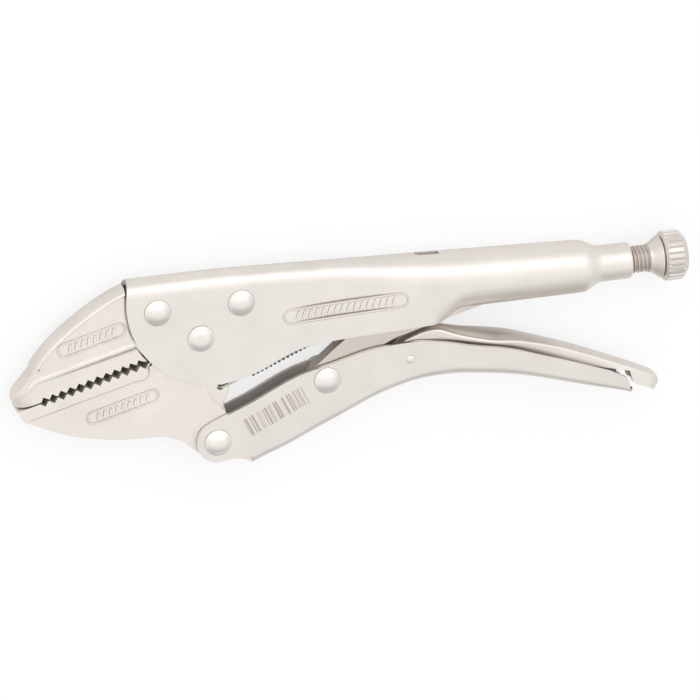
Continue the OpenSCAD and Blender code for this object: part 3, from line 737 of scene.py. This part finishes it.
def dome_profile(wall, flat):
    """From the top of the dome to the foot head's middle, as (radius, height off the mid-plane)."""
    ball = (HEAD_R ** 2 + DOME ** 2) / (2 * DOME)
    drop = ball - DOME
    flat_high = math.sqrt(ball ** 2 - flat ** 2) - drop + 0.02
    top = [(0.0, flat_high), (flat * 0.55, flat_high)]
    top += [(r, math.sqrt(ball ** 2 - r * r) - drop)
            for r in (mix(flat, HEAD_R, k / 7) for k in range(1, 7))]
    top = [(r, wall + h) for r, h in top]
    under = [(HEAD_R - 0.02, wall + 0.3), (HEAD_R - 0.08, wall + 0.06), (HEAD_R + SEAT, wall + 0.05),
             (HEAD_R + SEAT, wall - 0.05), (SHANK_R, wall - 0.05), (SHANK_R, -wall - 0.01)]
    foot = [(HEAD_R - 0.3, -wall - 0.02), (HEAD_R, -wall - 0.35), (HEAD_R, -mid_z + 0.95),
            (HEAD_R - 0.3, -mid_z + 0.35), (HEAD_R - 0.95, -mid_z + 0.01), (0.0, -mid_z + 0.01)]
    return top + under + foot


GRIP_HW = 5.4
RIVETS = [("upper_jaw_front_rivet", "fixed_side", WALL_HW, 1.2),
          ("upper_jaw_rear_rivet", "fixed_side", WALL_HW, 1.0),
          ("jaw_pivot_rivet", "fixed_side", WALL_HW, 2.3),
          ("handle_pivot_rivet", "moving_handle_side", GRIP_HW, 1.3),
          ("link_rivet", "moving_handle_side", GRIP_HW, 1.1)]
for node, body, wall, flat in RIVETS:
    at = node_middle(node)
    bm = bmesh.new()
    profile = [(at.x + r, at.y, mid_z + h) for r, h in dome_profile(wall, flat)]
    spin_about(bm, profile, (at.x, at.y, 0), (0, 0, 1), 40)
    # Faces beyond the head's edge, the seat ring, take the second material: painted shade, a dark line round
    # each head.
    for face in bm.faces:
        if max((v.co.xy - at.xy).length for v in face.verts) > HEAD_R + 0.01:
            face.material_index = 1
    make_piece(node + "_domed", bm, body, [node], nickel_rivet, angle=55,
               inside=painted_shade_corners)

# ---------------------------------------------------------------------------
# Moving handle: one blank of 1.8 mm sheet, folded into a trough that opens towards the fixed
# handle. Two ears in front take the handle pivot. The bars etched on its side are plain.
# ---------------------------------------------------------------------------
GRIP_SHEET = 1.8
EAR_R = 7.4
grip_end = node_box("moving_handle")[1].x
grip_front = node_box("moving_handle")[0].x
grip_top = [(17.0, -26.4), (34.2, -18.5), (46.6, -15.6), (53.2, -13.9), (59.8, -12.3), (66.4, -11.5), (72.9,
                                                                                                       -11.1),
            (79.4, -11.2), (85, -12.1), (89.2, -12.7), (97.9, -14.4), (104.0, -15.3), (111.3, -16.8),
            (120.6, -20.1),
            (132.8, -24.4), (142.5, -28.0), (148.7, -30.4), (151.6, -31.9), (153.6, -32.9), (154.7, -34.6),
            (grip_end, -37.3)]
grip_low = [(17.0, -49.35), (22.9, -46.9), (28.5, -45.0), (40.8, -39.5), (53.2, -34.2), (60.1, -31.1),
            (69.4, -28.0), (79.2, -25.9), (89.1, -25.2), (97.9, -25.3), (109.6, -26.6), (120.7, -29.1),
            (130.6, -32.0),
            (139.4, -34.6), (grip_end, -38.8)]
ear_top = [(0.9, handle_pivot.y + 6.53), (4, -31.6), (9, -29.6), (17.0, -26.4)]
ear_low = [(6.3, handle_pivot.y - 7.15), (8.4, -46.6), (9.9, -46.4), (12.5, -46.7), (15.4, -47.8),
           (17.0, -49.3)]


def grip_row(x):
    """Section of the trough from one wall's top edge, round the web, to the other's."""
    u = ease((x - 80) / 28)
    half = mix(GRIP_HW, 9.2, u)
    corner = mix(3.0, 4.2, u)
    if x >= 17.0:
        top, low = curve_at(grip_top, x), curve_at(grip_low, x)
    else:
        cap = math.sqrt(max(0.0, EAR_R ** 2 - (x - handle_pivot.x) ** 2))
        rise = curve_at(ear_top, x)
        top = handle_pivot.y + cap if x < 0.9 else rise
        low = handle_pivot.y - cap if x < 6.3 else curve_at(ear_low, x)
    depth = top - low
    round_low = min(corner, depth * 0.3)
    walls = [(mix(top, low + round_low, k / 5), half) for k in range(6)]
    if x >= 17.0:
        bend = [(low + round_low * (1 - math.sin(a)), half - round_low * (1 - math.cos(a)))
                for a in (math.pi / 2 * k / 8 for k in range(1, 9))]
    else:
        bend = [(low + round_low * (1 - k / 8), half) for k in range(1, 9)]
    side = walls + bend + [(low, bend[-1][1] * 0.5)]
    side = [(max(y, -49.42), z) for y, z in side]
    return [(x, y, mid_z + z) for y, z in side] + [(x, side[-1][0], mid_z)] + \
        [(x, y, mid_z - z) for y, z in reversed(side)]


stations = [handle_pivot.x - EAR_R * math.cos(math.radians(a)) for a in (6, 14, 24, 34, 44, 54, 64, 76, 90)]
stations += [6.3, 7.6, 9, 10.6, 12.4, 14.4, 16.2, 17.0, 19, 22, 26, 30, 35, 40, 45, 50, 55, 60, 64, 68, 72,
             76]
stations += [80, 84, 88, 92, 96, 100, 104, 108, 114, 120, 126, 132, 138, 144, 148, 151, 153, 154.0, 154.6,
             grip_end - 0.15,
             grip_end]
bm = bmesh.new()
grid = draw_rows(bm, [grip_row(x) for x in stations])
front_web = [f for f in bm.faces if min(v.co.x for v in f.verts) < 16.9
             and any(abs(v.co.z - mid_z) < 4.9 for v in f.verts)]
bmesh.ops.delete(bm, geom=front_web, context="FACES")

etched_sheet = plated_metal("nickel_sheet_etched", (0.83, 0.785, 0.735), 0.37)
tree = etched_sheet.node_tree
BARS_AT, BARS_LONG, BARS_TALL, BARS_TURN = (25.9, -30.6), 23.5, 7.0, math.radians(25)
place = add_node(tree, "ShaderNodeTexCoord").outputs["Object"]
squared = add_node(tree, "ShaderNodeMapping", {"vector_type": "TEXTURE"}, Vector=place,
                   Location=(BARS_AT[0] * MM, BARS_AT[1] * MM, 0), Rotation=(0, 0, BARS_TURN), Scale=(MM,
                                                                                                      MM, MM))
bar_place = add_node(tree, "ShaderNodeSeparateXYZ", Vector=squared.outputs["Vector"])
bar_noise = add_node(tree, "ShaderNodeTexNoise", {"noise_dimensions": "1D"}, W=bar_place.outputs["X"],
                     Scale=1.15,
                     Detail=1.0).outputs["Fac"]
bar_mask = add_node(tree, "ShaderNodeMapRange", Value=bar_noise, From_Min=0.49,
                    From_Max=0.53).outputs["Result"]
masks = [bar_mask]
for axis, half in (("X", BARS_LONG / 2), ("Y", BARS_TALL / 2)):
    size = add_node(tree, "ShaderNodeMath", {"operation": "ABSOLUTE"}, i0=bar_place.outputs[axis]).outputs[0]
    masks.append(add_node(tree, "ShaderNodeMath", {"operation": "LESS_THAN"}, i0=size, i1=half).outputs[0])
etched = add_node(tree, "ShaderNodeMath", {"operation": "GREATER_THAN"}, i0=bar_place.outputs["Z"],
                  i1=mid_z + 4).outputs[0]
for mask in masks:
    etched = add_node(tree, "ShaderNodeMath", {"operation": "MULTIPLY"}, i0=etched, i1=mask).outputs[0]
shader = tree.nodes["Principled BSDF"]
plain_colour = shader.inputs["Base Color"].links[0].from_socket
share = add_node(tree, "ShaderNodeMath", {"operation": "MULTIPLY"}, i0=etched, i1=0.72).outputs[0]
inked = add_node(tree, "ShaderNodeMix", {"data_type": "RGBA"}, i0=share, i6=plain_colour, i7=(0.42, 0.37,
                                                                                              0.33, 1))
tree.links.new(inked.outputs[2], shader.inputs["Base Color"])
plain_rough = shader.inputs["Roughness"].links[0].from_socket
rougher = add_node(tree, "ShaderNodeMath", {"operation": "MULTIPLY_ADD"}, i0=etched, i1=0.2, i2=plain_rough)
tree.links.new(rougher.outputs[0], shader.inputs["Roughness"])
# Its inside faces take the painted shade material.
make_piece("moving_handle_shell", bm, "moving_handle_side", ["moving_handle"], etched_sheet,
           sheet=GRIP_SHEET, bevel=0.28, outward=(0, -1, 0), inside=painted_shade_inside)

# ---------------------------------------------------------------------------
# Toggle link: a flat bar stamped from 6 mm plate, on the link rivet at one end and against the
# screw's point at the other. The whole bar is a darker nickel than the sheet, painted shade for its
# edge, which lies in shade between the handles.
# ---------------------------------------------------------------------------
link_pivot = node_middle("link_rivet")
LINK_T, LINK_EYE_R, LINK_TOE_R = 6.0, 6.0, 5.0
link_toe = (node_box("toggle_link")[1].x - LINK_TOE_R, axis_y)
# Painted shade: the whole link is a darker nickel, standing for the shade on its edge.
link_painted_shade = plated_metal("nickel_link_painted_shade", (0.72, 0.665, 0.61), 0.4, grain=0.8, grain_size=0.5)
link_upper = [(42.2, -15.9), (46.2, -12.6), (54.4, -6.3), (64, -0.8), (80, 4), (100, 9.4), (112.5, 12.4)]
link_lower = [(115.5, 2.4), (101.4, -1.5), (86.2, -5.5), (77, -7.9), (66, -11.8), (50.5, -24.2)]
link_edge = arc((link_pivot.x, link_pivot.y), LINK_EYE_R, -42, -232, 16)
link_edge += smooth_line(link_upper, 4, closed=False)
link_edge += arc(link_toe, LINK_TOE_R, 106, -66, 14)
link_edge += smooth_line(link_lower, 4, closed=False)
bm = bmesh.new()
draw_plate(bm, link_edge, LINK_T, holes=[((link_pivot.x, link_pivot.y), RIVET_BORE)])
make_piece("toggle_link_bar", bm, "link_side", ["toggle_link"], link_painted_shade, bevel=0.4,
           segments=3, angle=42)

# ---------------------------------------------------------------------------
# Release lever: a cap of 1.6 mm sheet over the trough, arched across its top, with two skirts
# that lean inward behind the lever pin. Its tail curls down into a round end past the grip.
# ---------------------------------------------------------------------------
LEVER_SHEET = 1.6
LEAN_MIDDLE, LEAN_REAR = 2.6, 1.9
lever_end = node_box("release_lever")[1].x
lever_crown = [(69.6, -14.2), (71.2, -12.4), (74.0, -10.6), (78.0, -8.9), (82.0, -7.5), (85.0, -7.0),
               (87.5, -7.15), (91.3, -8.2), (95.0, -9.1), (100.3, -10.1), (111.6, -12.4), (118.8, -14.8),
               (132.5, -19.9), (143.0, -24.3), (154.1, -29.2), (160.0, -31.8)]
lever_skirt = [(69.6, -14.6), (70.4, -19.0), (71.4, -20.4), (74, -20.8), (80, -21.0), (92, -21.2), (100,
                                                                                                    -21.5),
               (111, -22.5), (122, -24.1), (134, -26.6), (146, -29.5), (156.2, -32.2)]
lever_arch = [(69.6, 0.2), (80, 0.35), (86, 0.9), (93, 1.8), (106, 2.4), (118, 1.3), (131, 0.7), (143, 0.6),
              (160, 0.6)]


def lever_row(x, skirt=None, crown=None, half=None, soft=None):
    """Section of the cap from one skirt's edge, over the arched crown, to the other's."""
    u = ease((x - 82) / 26)
    half = half or mix(3.1, 6.9, u)
    bend_half = half - 2.2 * ease((x - 104) / 30)
    corner = soft or mix(1.2, 0.9, u)
    top = crown or (x, curve_at(lever_crown, x))
    foot = skirt or (x, curve_at(lever_skirt, x))
    down = Vector(foot) - Vector(top)
    deep = down.length
    arch = curve_at(lever_arch, top[0])
    side = [(arch * k * k, (bend_half - corner) * k) for k in (0, 0.25, 0.5, 0.75, 1.0)]
    side += [(arch + corner * (1 - math.cos(a)), bend_half - corner + corner * math.sin(a))
             for a in (math.pi / 2 * k / 6 for k in range(1, 7))]
    lean_in = max(LEAN_REAR * ease((x - 100) / 12),
                  LEAN_MIDDLE * ease((x - 80) / 12) * ease((118 - x) / 14))
    start, foot_half = side[-1][0], max(2.4, half - lean_in)
    side += [(mix(start, deep, k / 4), mix(bend_half, foot_half, k / 4)) for k in range(1, 5)]
    side = [(Vector(top) + down * (d / deep), z) for d, z in side]
    return [(p.x, p.y, mid_z + z) for p, z in reversed(side)] + [(p.x, p.y, mid_z - z) for p, z in side[1:]]


bm = bmesh.new()
rows = [lever_row(x) for x in (69.6, 70.4, 71.5, 73, 75, 77, 79, 81, 83, 85, 87, 89, 91, 93.5, 96, 99,
                               102, 105, 108, 112, 116, 121, 126, 131, 136, 141, 146, 150, 153, 156.2)]
tail = [((158.0, -30.9), (157.5, -36.6), 6.9, 0.9), ((160.2, -31.9), (159.2, -37.9), 6.8, 1.4),
        ((162.4, -32.8), (161.6, -39.0), 6.5, 1.9), ((164.4, -33.75), (163.6, -39.9), 6.05, 2.4),
        ((166.2, -35.0), (164.6, -40.3), 5.4, 2.4), ((167.5, -36.8), (165.2, -40.6), 4.7, 2.2),
        ((lever_end - 0.12, -38.4), (165.7, -40.8), 4.1, 1.5),
        ((lever_end - 0.2, -39.6), (166.2, -41.0), 3.5, 0.9)]
rows += [lever_row(160, skirt, crown, half, soft) for crown, skirt, half, soft in tail]
draw_rows(bm, rows)
# Its inside faces take the painted shade material.
make_piece("release_lever_cap", bm, "lever_side", ["release_lever"], nickel_sheet,
           sheet=LEVER_SHEET, bevel=0.25, outward=(0, 1, 0), inside=painted_shade_inside)

PIN_R = 1.65
lever_pin = node_middle("release_lever_pin")
pin_line = [(0.0, 5.98), (0.9, 5.93), (1.3, 5.75), (PIN_R - 0.08, 5.42), (PIN_R - 0.1, 5.3), (PIN_R, 5.2),
            (PIN_R, -5.2), (PIN_R - 0.1, -5.3), (PIN_R - 0.08, -5.42), (1.3, -5.75), (0.9, -5.93), (0.0,
                                                                                                    -5.98)]
bm = bmesh.new()
spin_about(bm, [(lever_pin.x + r, lever_pin.y, mid_z + h) for r, h in pin_line],
           (lever_pin.x, lever_pin.y, 0), (0, 0, 1), 28)
make_piece("release_lever_pin_set", bm, "moving_handle_side", ["release_lever_pin"],
           nickel_rivet, angle=55)

# ---------------------------------------------------------------------------
# Return spring: close-wound music wire, hooked through the lower jaw's tab and the eye of the
# handle's tab. It pulls the jaws open when the handles are released.
# ---------------------------------------------------------------------------
WIRE_R, COIL_R, COIL_PITCH = 0.55, 2.9, 1.7
spring_wire = plated_metal("spring_wire", (0.62, 0.585, 0.55), 0.3, grain=0.3, grain_size=0.8, edge_width=0.1)
spring_from = Vector((SPRING_HOLE[0], SPRING_HOLE[1], mid_z))
spring_to = Vector((TAB_X, EYE_Y, mid_z))
spring_way = (spring_to - spring_from).normalized()
across = Vector((0, 0, 1))
aside = across.cross(spring_way)
coil_start, coil_end = spring_from + spring_way * 11, spring_to - spring_way * 7


def draw_wire(bm, centreline, sides=8):
    """Round wire along a line of points, with closed ends."""
    rows = []
    lift = Vector((0.13, 0.21, 0.97)).normalized()
    for i, point in enumerate(centreline):
        way = (centreline[min(i + 1, len(centreline) - 1)] - centreline[max(i - 1, 0)]).normalized()
        lift = (lift - way * lift.dot(way)).normalized()
        side = way.cross(lift)
        rows.append([point + (lift * math.cos(a) + side * math.sin(a)) * WIRE_R
                     for a in (math.tau * k / sides for k in range(sides))])
    rings = draw_rows(bm, rows, closed=True)
    for ring in (rings[0], rings[-1]):
        bmesh.ops.contextual_create(bm, geom=ring)


POINTS_A_TURN = 14
turns = int((coil_end - coil_start).length / COIL_PITCH)
coil_line = []
for i in range(turns * POINTS_A_TURN + 1):
    a = math.tau * i / POINTS_A_TURN
    coil_line.append(coil_start + spring_way * (COIL_PITCH * i / POINTS_A_TURN)
                     + (across * math.cos(a) + aside * math.sin(a)) * (COIL_R - WIRE_R))
beside = across * (SPRING_TAB_T / 2 + WIRE_R + 0.35)
front_hook = [spring_from - beside - spring_way * 0.2, spring_from - beside * 0.5, spring_from,
              spring_from + beside * 0.6, spring_from + beside * 0.95 + spring_way * 0.25,
              spring_from + beside + spring_way * 0.9, spring_from + beside + spring_way * 4,
              spring_from + beside + spring_way * 9.4]
rear = coil_line[-1]
rear_hook = [rear + spring_way * 0.5, spring_to - spring_way * 4.5, spring_to - spring_way * 3, spring_to,
             spring_to + spring_way * 2.2, spring_to + spring_way * 2.9 + aside * 0.5]
bm = bmesh.new()
draw_wire(bm, front_hook + coil_line + rear_hook)
spring = make_piece("return_spring_coil", bm, None, ["return_spring"], spring_wire, angle=60)
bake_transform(spring)

# ---------------------------------------------------------------------------
# Adjusting screw: turned from bar, with a cut thread, a short collar that widens to the head in
# a cone, a narrow groove, and straight ribs round the head. Its plain point bears on the link.
# ---------------------------------------------------------------------------
nickel_turned = plated_metal("nickel_turned", (0.79, 0.745, 0.7), 0.36, grain=0.4, grain_size=0.3,
                             edge_width=0.25)
cut_thread = plated_metal("nickel_thread", (0.63, 0.57, 0.52), 0.42, grain=0.5, grain_size=0.3,
                          edge_width=0.1)
screw_low, screw_high = node_box("adjusting_screw")
THREAD_R, THREAD_PITCH, THREAD_DEEP = 4.9, 1.5, 0.72
HEAD_R_OUT, RIBS = 8.95, 26
head_x = screw_high.x - 10.5
thread_from = screw_low.x + 0.4
axis_at = Vector((0, axis_y, mid_z))


def turned(bm, profile, steps):
    spin_about(bm, [(x, axis_y + r, mid_z) for x, r in profile], axis_at, (1, 0, 0), steps)


CORE_R = THREAD_R - 0.85
stem = [(screw_low.x, 0), (screw_low.x, THREAD_R - 1.1), (thread_from, CORE_R), (head_x - 3.2, CORE_R)]
collar = [(head_x - 3.2, 5.0), (head_x - 3.0, 5.25), (head_x - 2.0, 5.35), (head_x - 1.6, 5.75),
          (head_x + 0.3, 7.1), (head_x + 0.9, 7.6), (head_x + 1.2, 7.7), (head_x + 1.35, 7.5)]
groove = [(head_x + 1.4, 6.4), (head_x + 1.75, 6.4), (head_x + 1.8, 7.6), (head_x + 2.0, 8.0),
          (head_x + 2.5, 8.35)]
bm = bmesh.new()
turned(bm, stem + collar + groove, 56)
make_piece("adjusting_screw_stem", bm, "screw", ["adjusting_screw"], nickel_turned, angle=40,
           bevel=0.08, segments=1)

bm = bmesh.new()
thread_turns = int((head_x - 2.3 - thread_from) / THREAD_PITCH)
thread_line = [(0.0, THREAD_R - THREAD_DEEP), (0.16, THREAD_R - THREAD_DEEP), (0.62, THREAD_R - 0.04),
               (0.75, THREAD_R), (0.92, THREAD_R), (1.05, THREAD_R - 0.04),
               (THREAD_PITCH, THREAD_R - THREAD_DEEP)]
verts = [bm.verts.new((thread_from + x, axis_y + r, mid_z)) for x, r in thread_line]
edges = [bm.edges.new(pair) for pair in zip(verts, verts[1:])]
STEPS_A_TURN = 32
bmesh.ops.spin(bm, geom=verts + edges, cent=axis_at, axis=(1, 0, 0), dvec=(THREAD_PITCH / STEPS_A_TURN, 0, 0),
               angle=math.tau * thread_turns, steps=STEPS_A_TURN * thread_turns, use_merge=False,
               use_normal_flip=False, use_duplicate=False)
bmesh.ops.remove_doubles(bm, verts=bm.verts, dist=1e-3)
make_piece("adjusting_screw_thread", bm, "screw", None, cut_thread, angle=50)

RIB_DEEP = 0.62
band_from, band_to = head_x + 2.3, screw_high.x - 1.0
knob_line = [(band_from, 7.6, 0.0), (band_from, 8.3, 0.0), (band_from + 0.2, 8.62, 0.0),
             (band_from + 0.75, HEAD_R_OUT, 0.6), (band_from + 1.2, HEAD_R_OUT, 1.0),
             (band_to - 1.6, HEAD_R_OUT, 1.0), (band_to - 1.0, 8.85, 0.85), (band_to - 0.4, 8.35, 0.25),
             (band_to, 7.9, 0.0), (band_to + 0.1, 7.3, 0.0), (band_to + 0.3, 7.0, 0.0),
             (band_to + 0.95, 6.6, 0.0), (screw_high.x, 6.1, 0.0), (screw_high.x, 2.0, 0.0)]
rib_line = [(0.0, 0.0), (0.3, -0.05), (0.62, 0.0), (0.7, 0.7), (0.81, 1.1), (0.92, 0.7)]
rows = []
for x, r, deep in knob_line:
    ring = []
    for i in range(RIBS):
        for share, cut in rib_line:
            a = math.tau * (i + share) / RIBS
            rib_r = r - RIB_DEEP * deep * cut
            ring.append((x, axis_y + rib_r * math.cos(a), mid_z + rib_r * math.sin(a)))
    rows.append(ring)
bm = bmesh.new()
rings = draw_rows(bm, rows, closed=True)
bmesh.ops.contextual_create(bm, geom=rings[-1])
make_piece("adjusting_screw_knob", bm, "screw", None, nickel_turned, angle=32)

POINT_R = 3.6
point_low, point_high = node_box("screw_point")
bm = bmesh.new()
turned(bm, [(point_low.x, 0), (point_low.x, 2.5), (point_low.x + 0.25, 3.0), (point_low.x + 0.8, 3.5),
            (point_low.x + 1.2, POINT_R), (point_high.x, POINT_R), (point_high.x, 0)], 40)
make_piece("screw_point_pin", bm, "screw_travel", ["screw_point"], nickel_turned, angle=40)

# ---------------------------------------------------------------------------
# Floor, light and camera: a sheet of white paper under a soft overhead light, seen from the
# left and above the pliers' back with a long lens.
# ---------------------------------------------------------------------------
TOWARDS_CAMERA = Vector((-0.2251, 0.3469, 0.9105))
SCREEN_UP = Vector((0.1193, 0.9373, -0.3276))
SCREEN_RIGHT = Vector((0.967, -0.0349, 0.2523))
AIM = Vector((52, -6, mid_z)) + 2.92 * SCREEN_RIGHT - 6.34 * SCREEN_UP
DISTANCE = 2000.0
LENS = 291.9
camera_data = bpy.data.cameras.new("camera")
camera_data.lens, camera_data.sensor_width = LENS, 36.0
camera_data.clip_end = 50.0
camera = bpy.data.objects.new("camera", camera_data)
back_axis = TOWARDS_CAMERA.normalized()
right_axis = SCREEN_UP.cross(back_axis).normalized()
up_axis = back_axis.cross(right_axis)
turn = Matrix((right_axis, up_axis, back_axis)).transposed()
camera.matrix_world = Matrix.Translation((AIM + back_axis * DISTANCE) * MM) @ turn.to_4x4()
bpy.context.scene.collection.objects.link(camera)
bpy.context.scene.camera = camera

bm = bmesh.new()
bmesh.ops.create_grid(bm, x_segments=1, y_segments=1, size=4.0)
floor_mesh = bpy.data.meshes.new("floor")
bm.to_mesh(floor_mesh)
bm.free()
floor = bpy.data.objects.new("floor", floor_mesh)
bpy.context.scene.collection.objects.link(floor)
paper = bpy.data.materials.new("white_paper")
paper.use_nodes = True
tree = paper.node_tree
shader = tree.nodes["Principled BSDF"]
shader.inputs["Roughness"].default_value = 0.9
shader.inputs["Specular IOR Level"].default_value = 0.0
shader.inputs["Emission Color"].default_value = (1, 1, 1, 1)
seen = add_node(tree, "ShaderNodeLightPath").outputs["Is Camera Ray"]
floor_glow = add_node(tree, "ShaderNodeMath", {"operation": "MULTIPLY_ADD"}, i0=seen, i1=0.64, i2=0.1)
tree.links.new(floor_glow.outputs[0], shader.inputs["Emission Strength"])
shade = add_node(tree, "ShaderNodeMix", {"data_type": "RGBA"}, i0=seen, i6=(0.74, 0.735, 0.73, 1),
                 i7=(0.26, 0.26, 0.26, 1))
tree.links.new(shade.outputs[2], shader.inputs["Base Color"])
floor_mesh.materials.append(paper)

world = bpy.data.worlds.new("studio")
bpy.context.scene.world = world
world.use_nodes = True
sky = world.node_tree
direction = add_node(sky, "ShaderNodeTexCoord").outputs["Generated"]
split = add_node(sky, "ShaderNodeSeparateXYZ", Vector=direction)
over_tool = add_node(sky, "ShaderNodeMapRange", Value=split.outputs["Y"], From_Min=-1.0, From_Max=1.0)
ramp = add_node(sky, "ShaderNodeValToRGB", Fac=over_tool.outputs["Result"])
ramp.color_ramp.interpolation = "EASE"
for stop, (place_at, level) in enumerate(((0.0, 0.62), (0.33, 0.98), (0.8, 1.2), (1.0, 1.0))):
    entry = ramp.color_ramp.elements[stop] if stop < 2 else ramp.color_ramp.elements.new(place_at)
    entry.position = place_at
    entry.color = (level / 1.25, level / 1.25, level / 1.25, 1)
low_sky = add_node(sky, "ShaderNodeMapRange", {"interpolation_type": "SMOOTHSTEP"}, Value=split.outputs["Z"],
                   From_Min=0.0, From_Max=0.6, To_Min=0.78, To_Max=1.0).outputs["Result"]
glow = add_node(sky, "ShaderNodeMath", {"operation": "MULTIPLY"}, i0=low_sky, i1=1.25).outputs[0]
sky.links.new(ramp.outputs["Color"], sky.nodes["Background"].inputs["Color"])
sky.links.new(glow, sky.nodes["Background"].inputs["Strength"])

overhead_data = bpy.data.lights.new("overhead", "AREA")
overhead_data.shape, overhead_data.size, overhead_data.size_y = "RECTANGLE", 1.4, 0.75
overhead_data.energy = 2.0
overhead = bpy.data.objects.new("overhead", overhead_data)
overhead.location = (0.35, 1.2, 1.35)
overhead.rotation_euler = (Vector((0.05, 0, 0)) - overhead.location).to_track_quat("-Z", "Y").to_euler()
bpy.context.scene.collection.objects.link(overhead)
bpy.context.scene.view_settings.view_transform = "Standard"
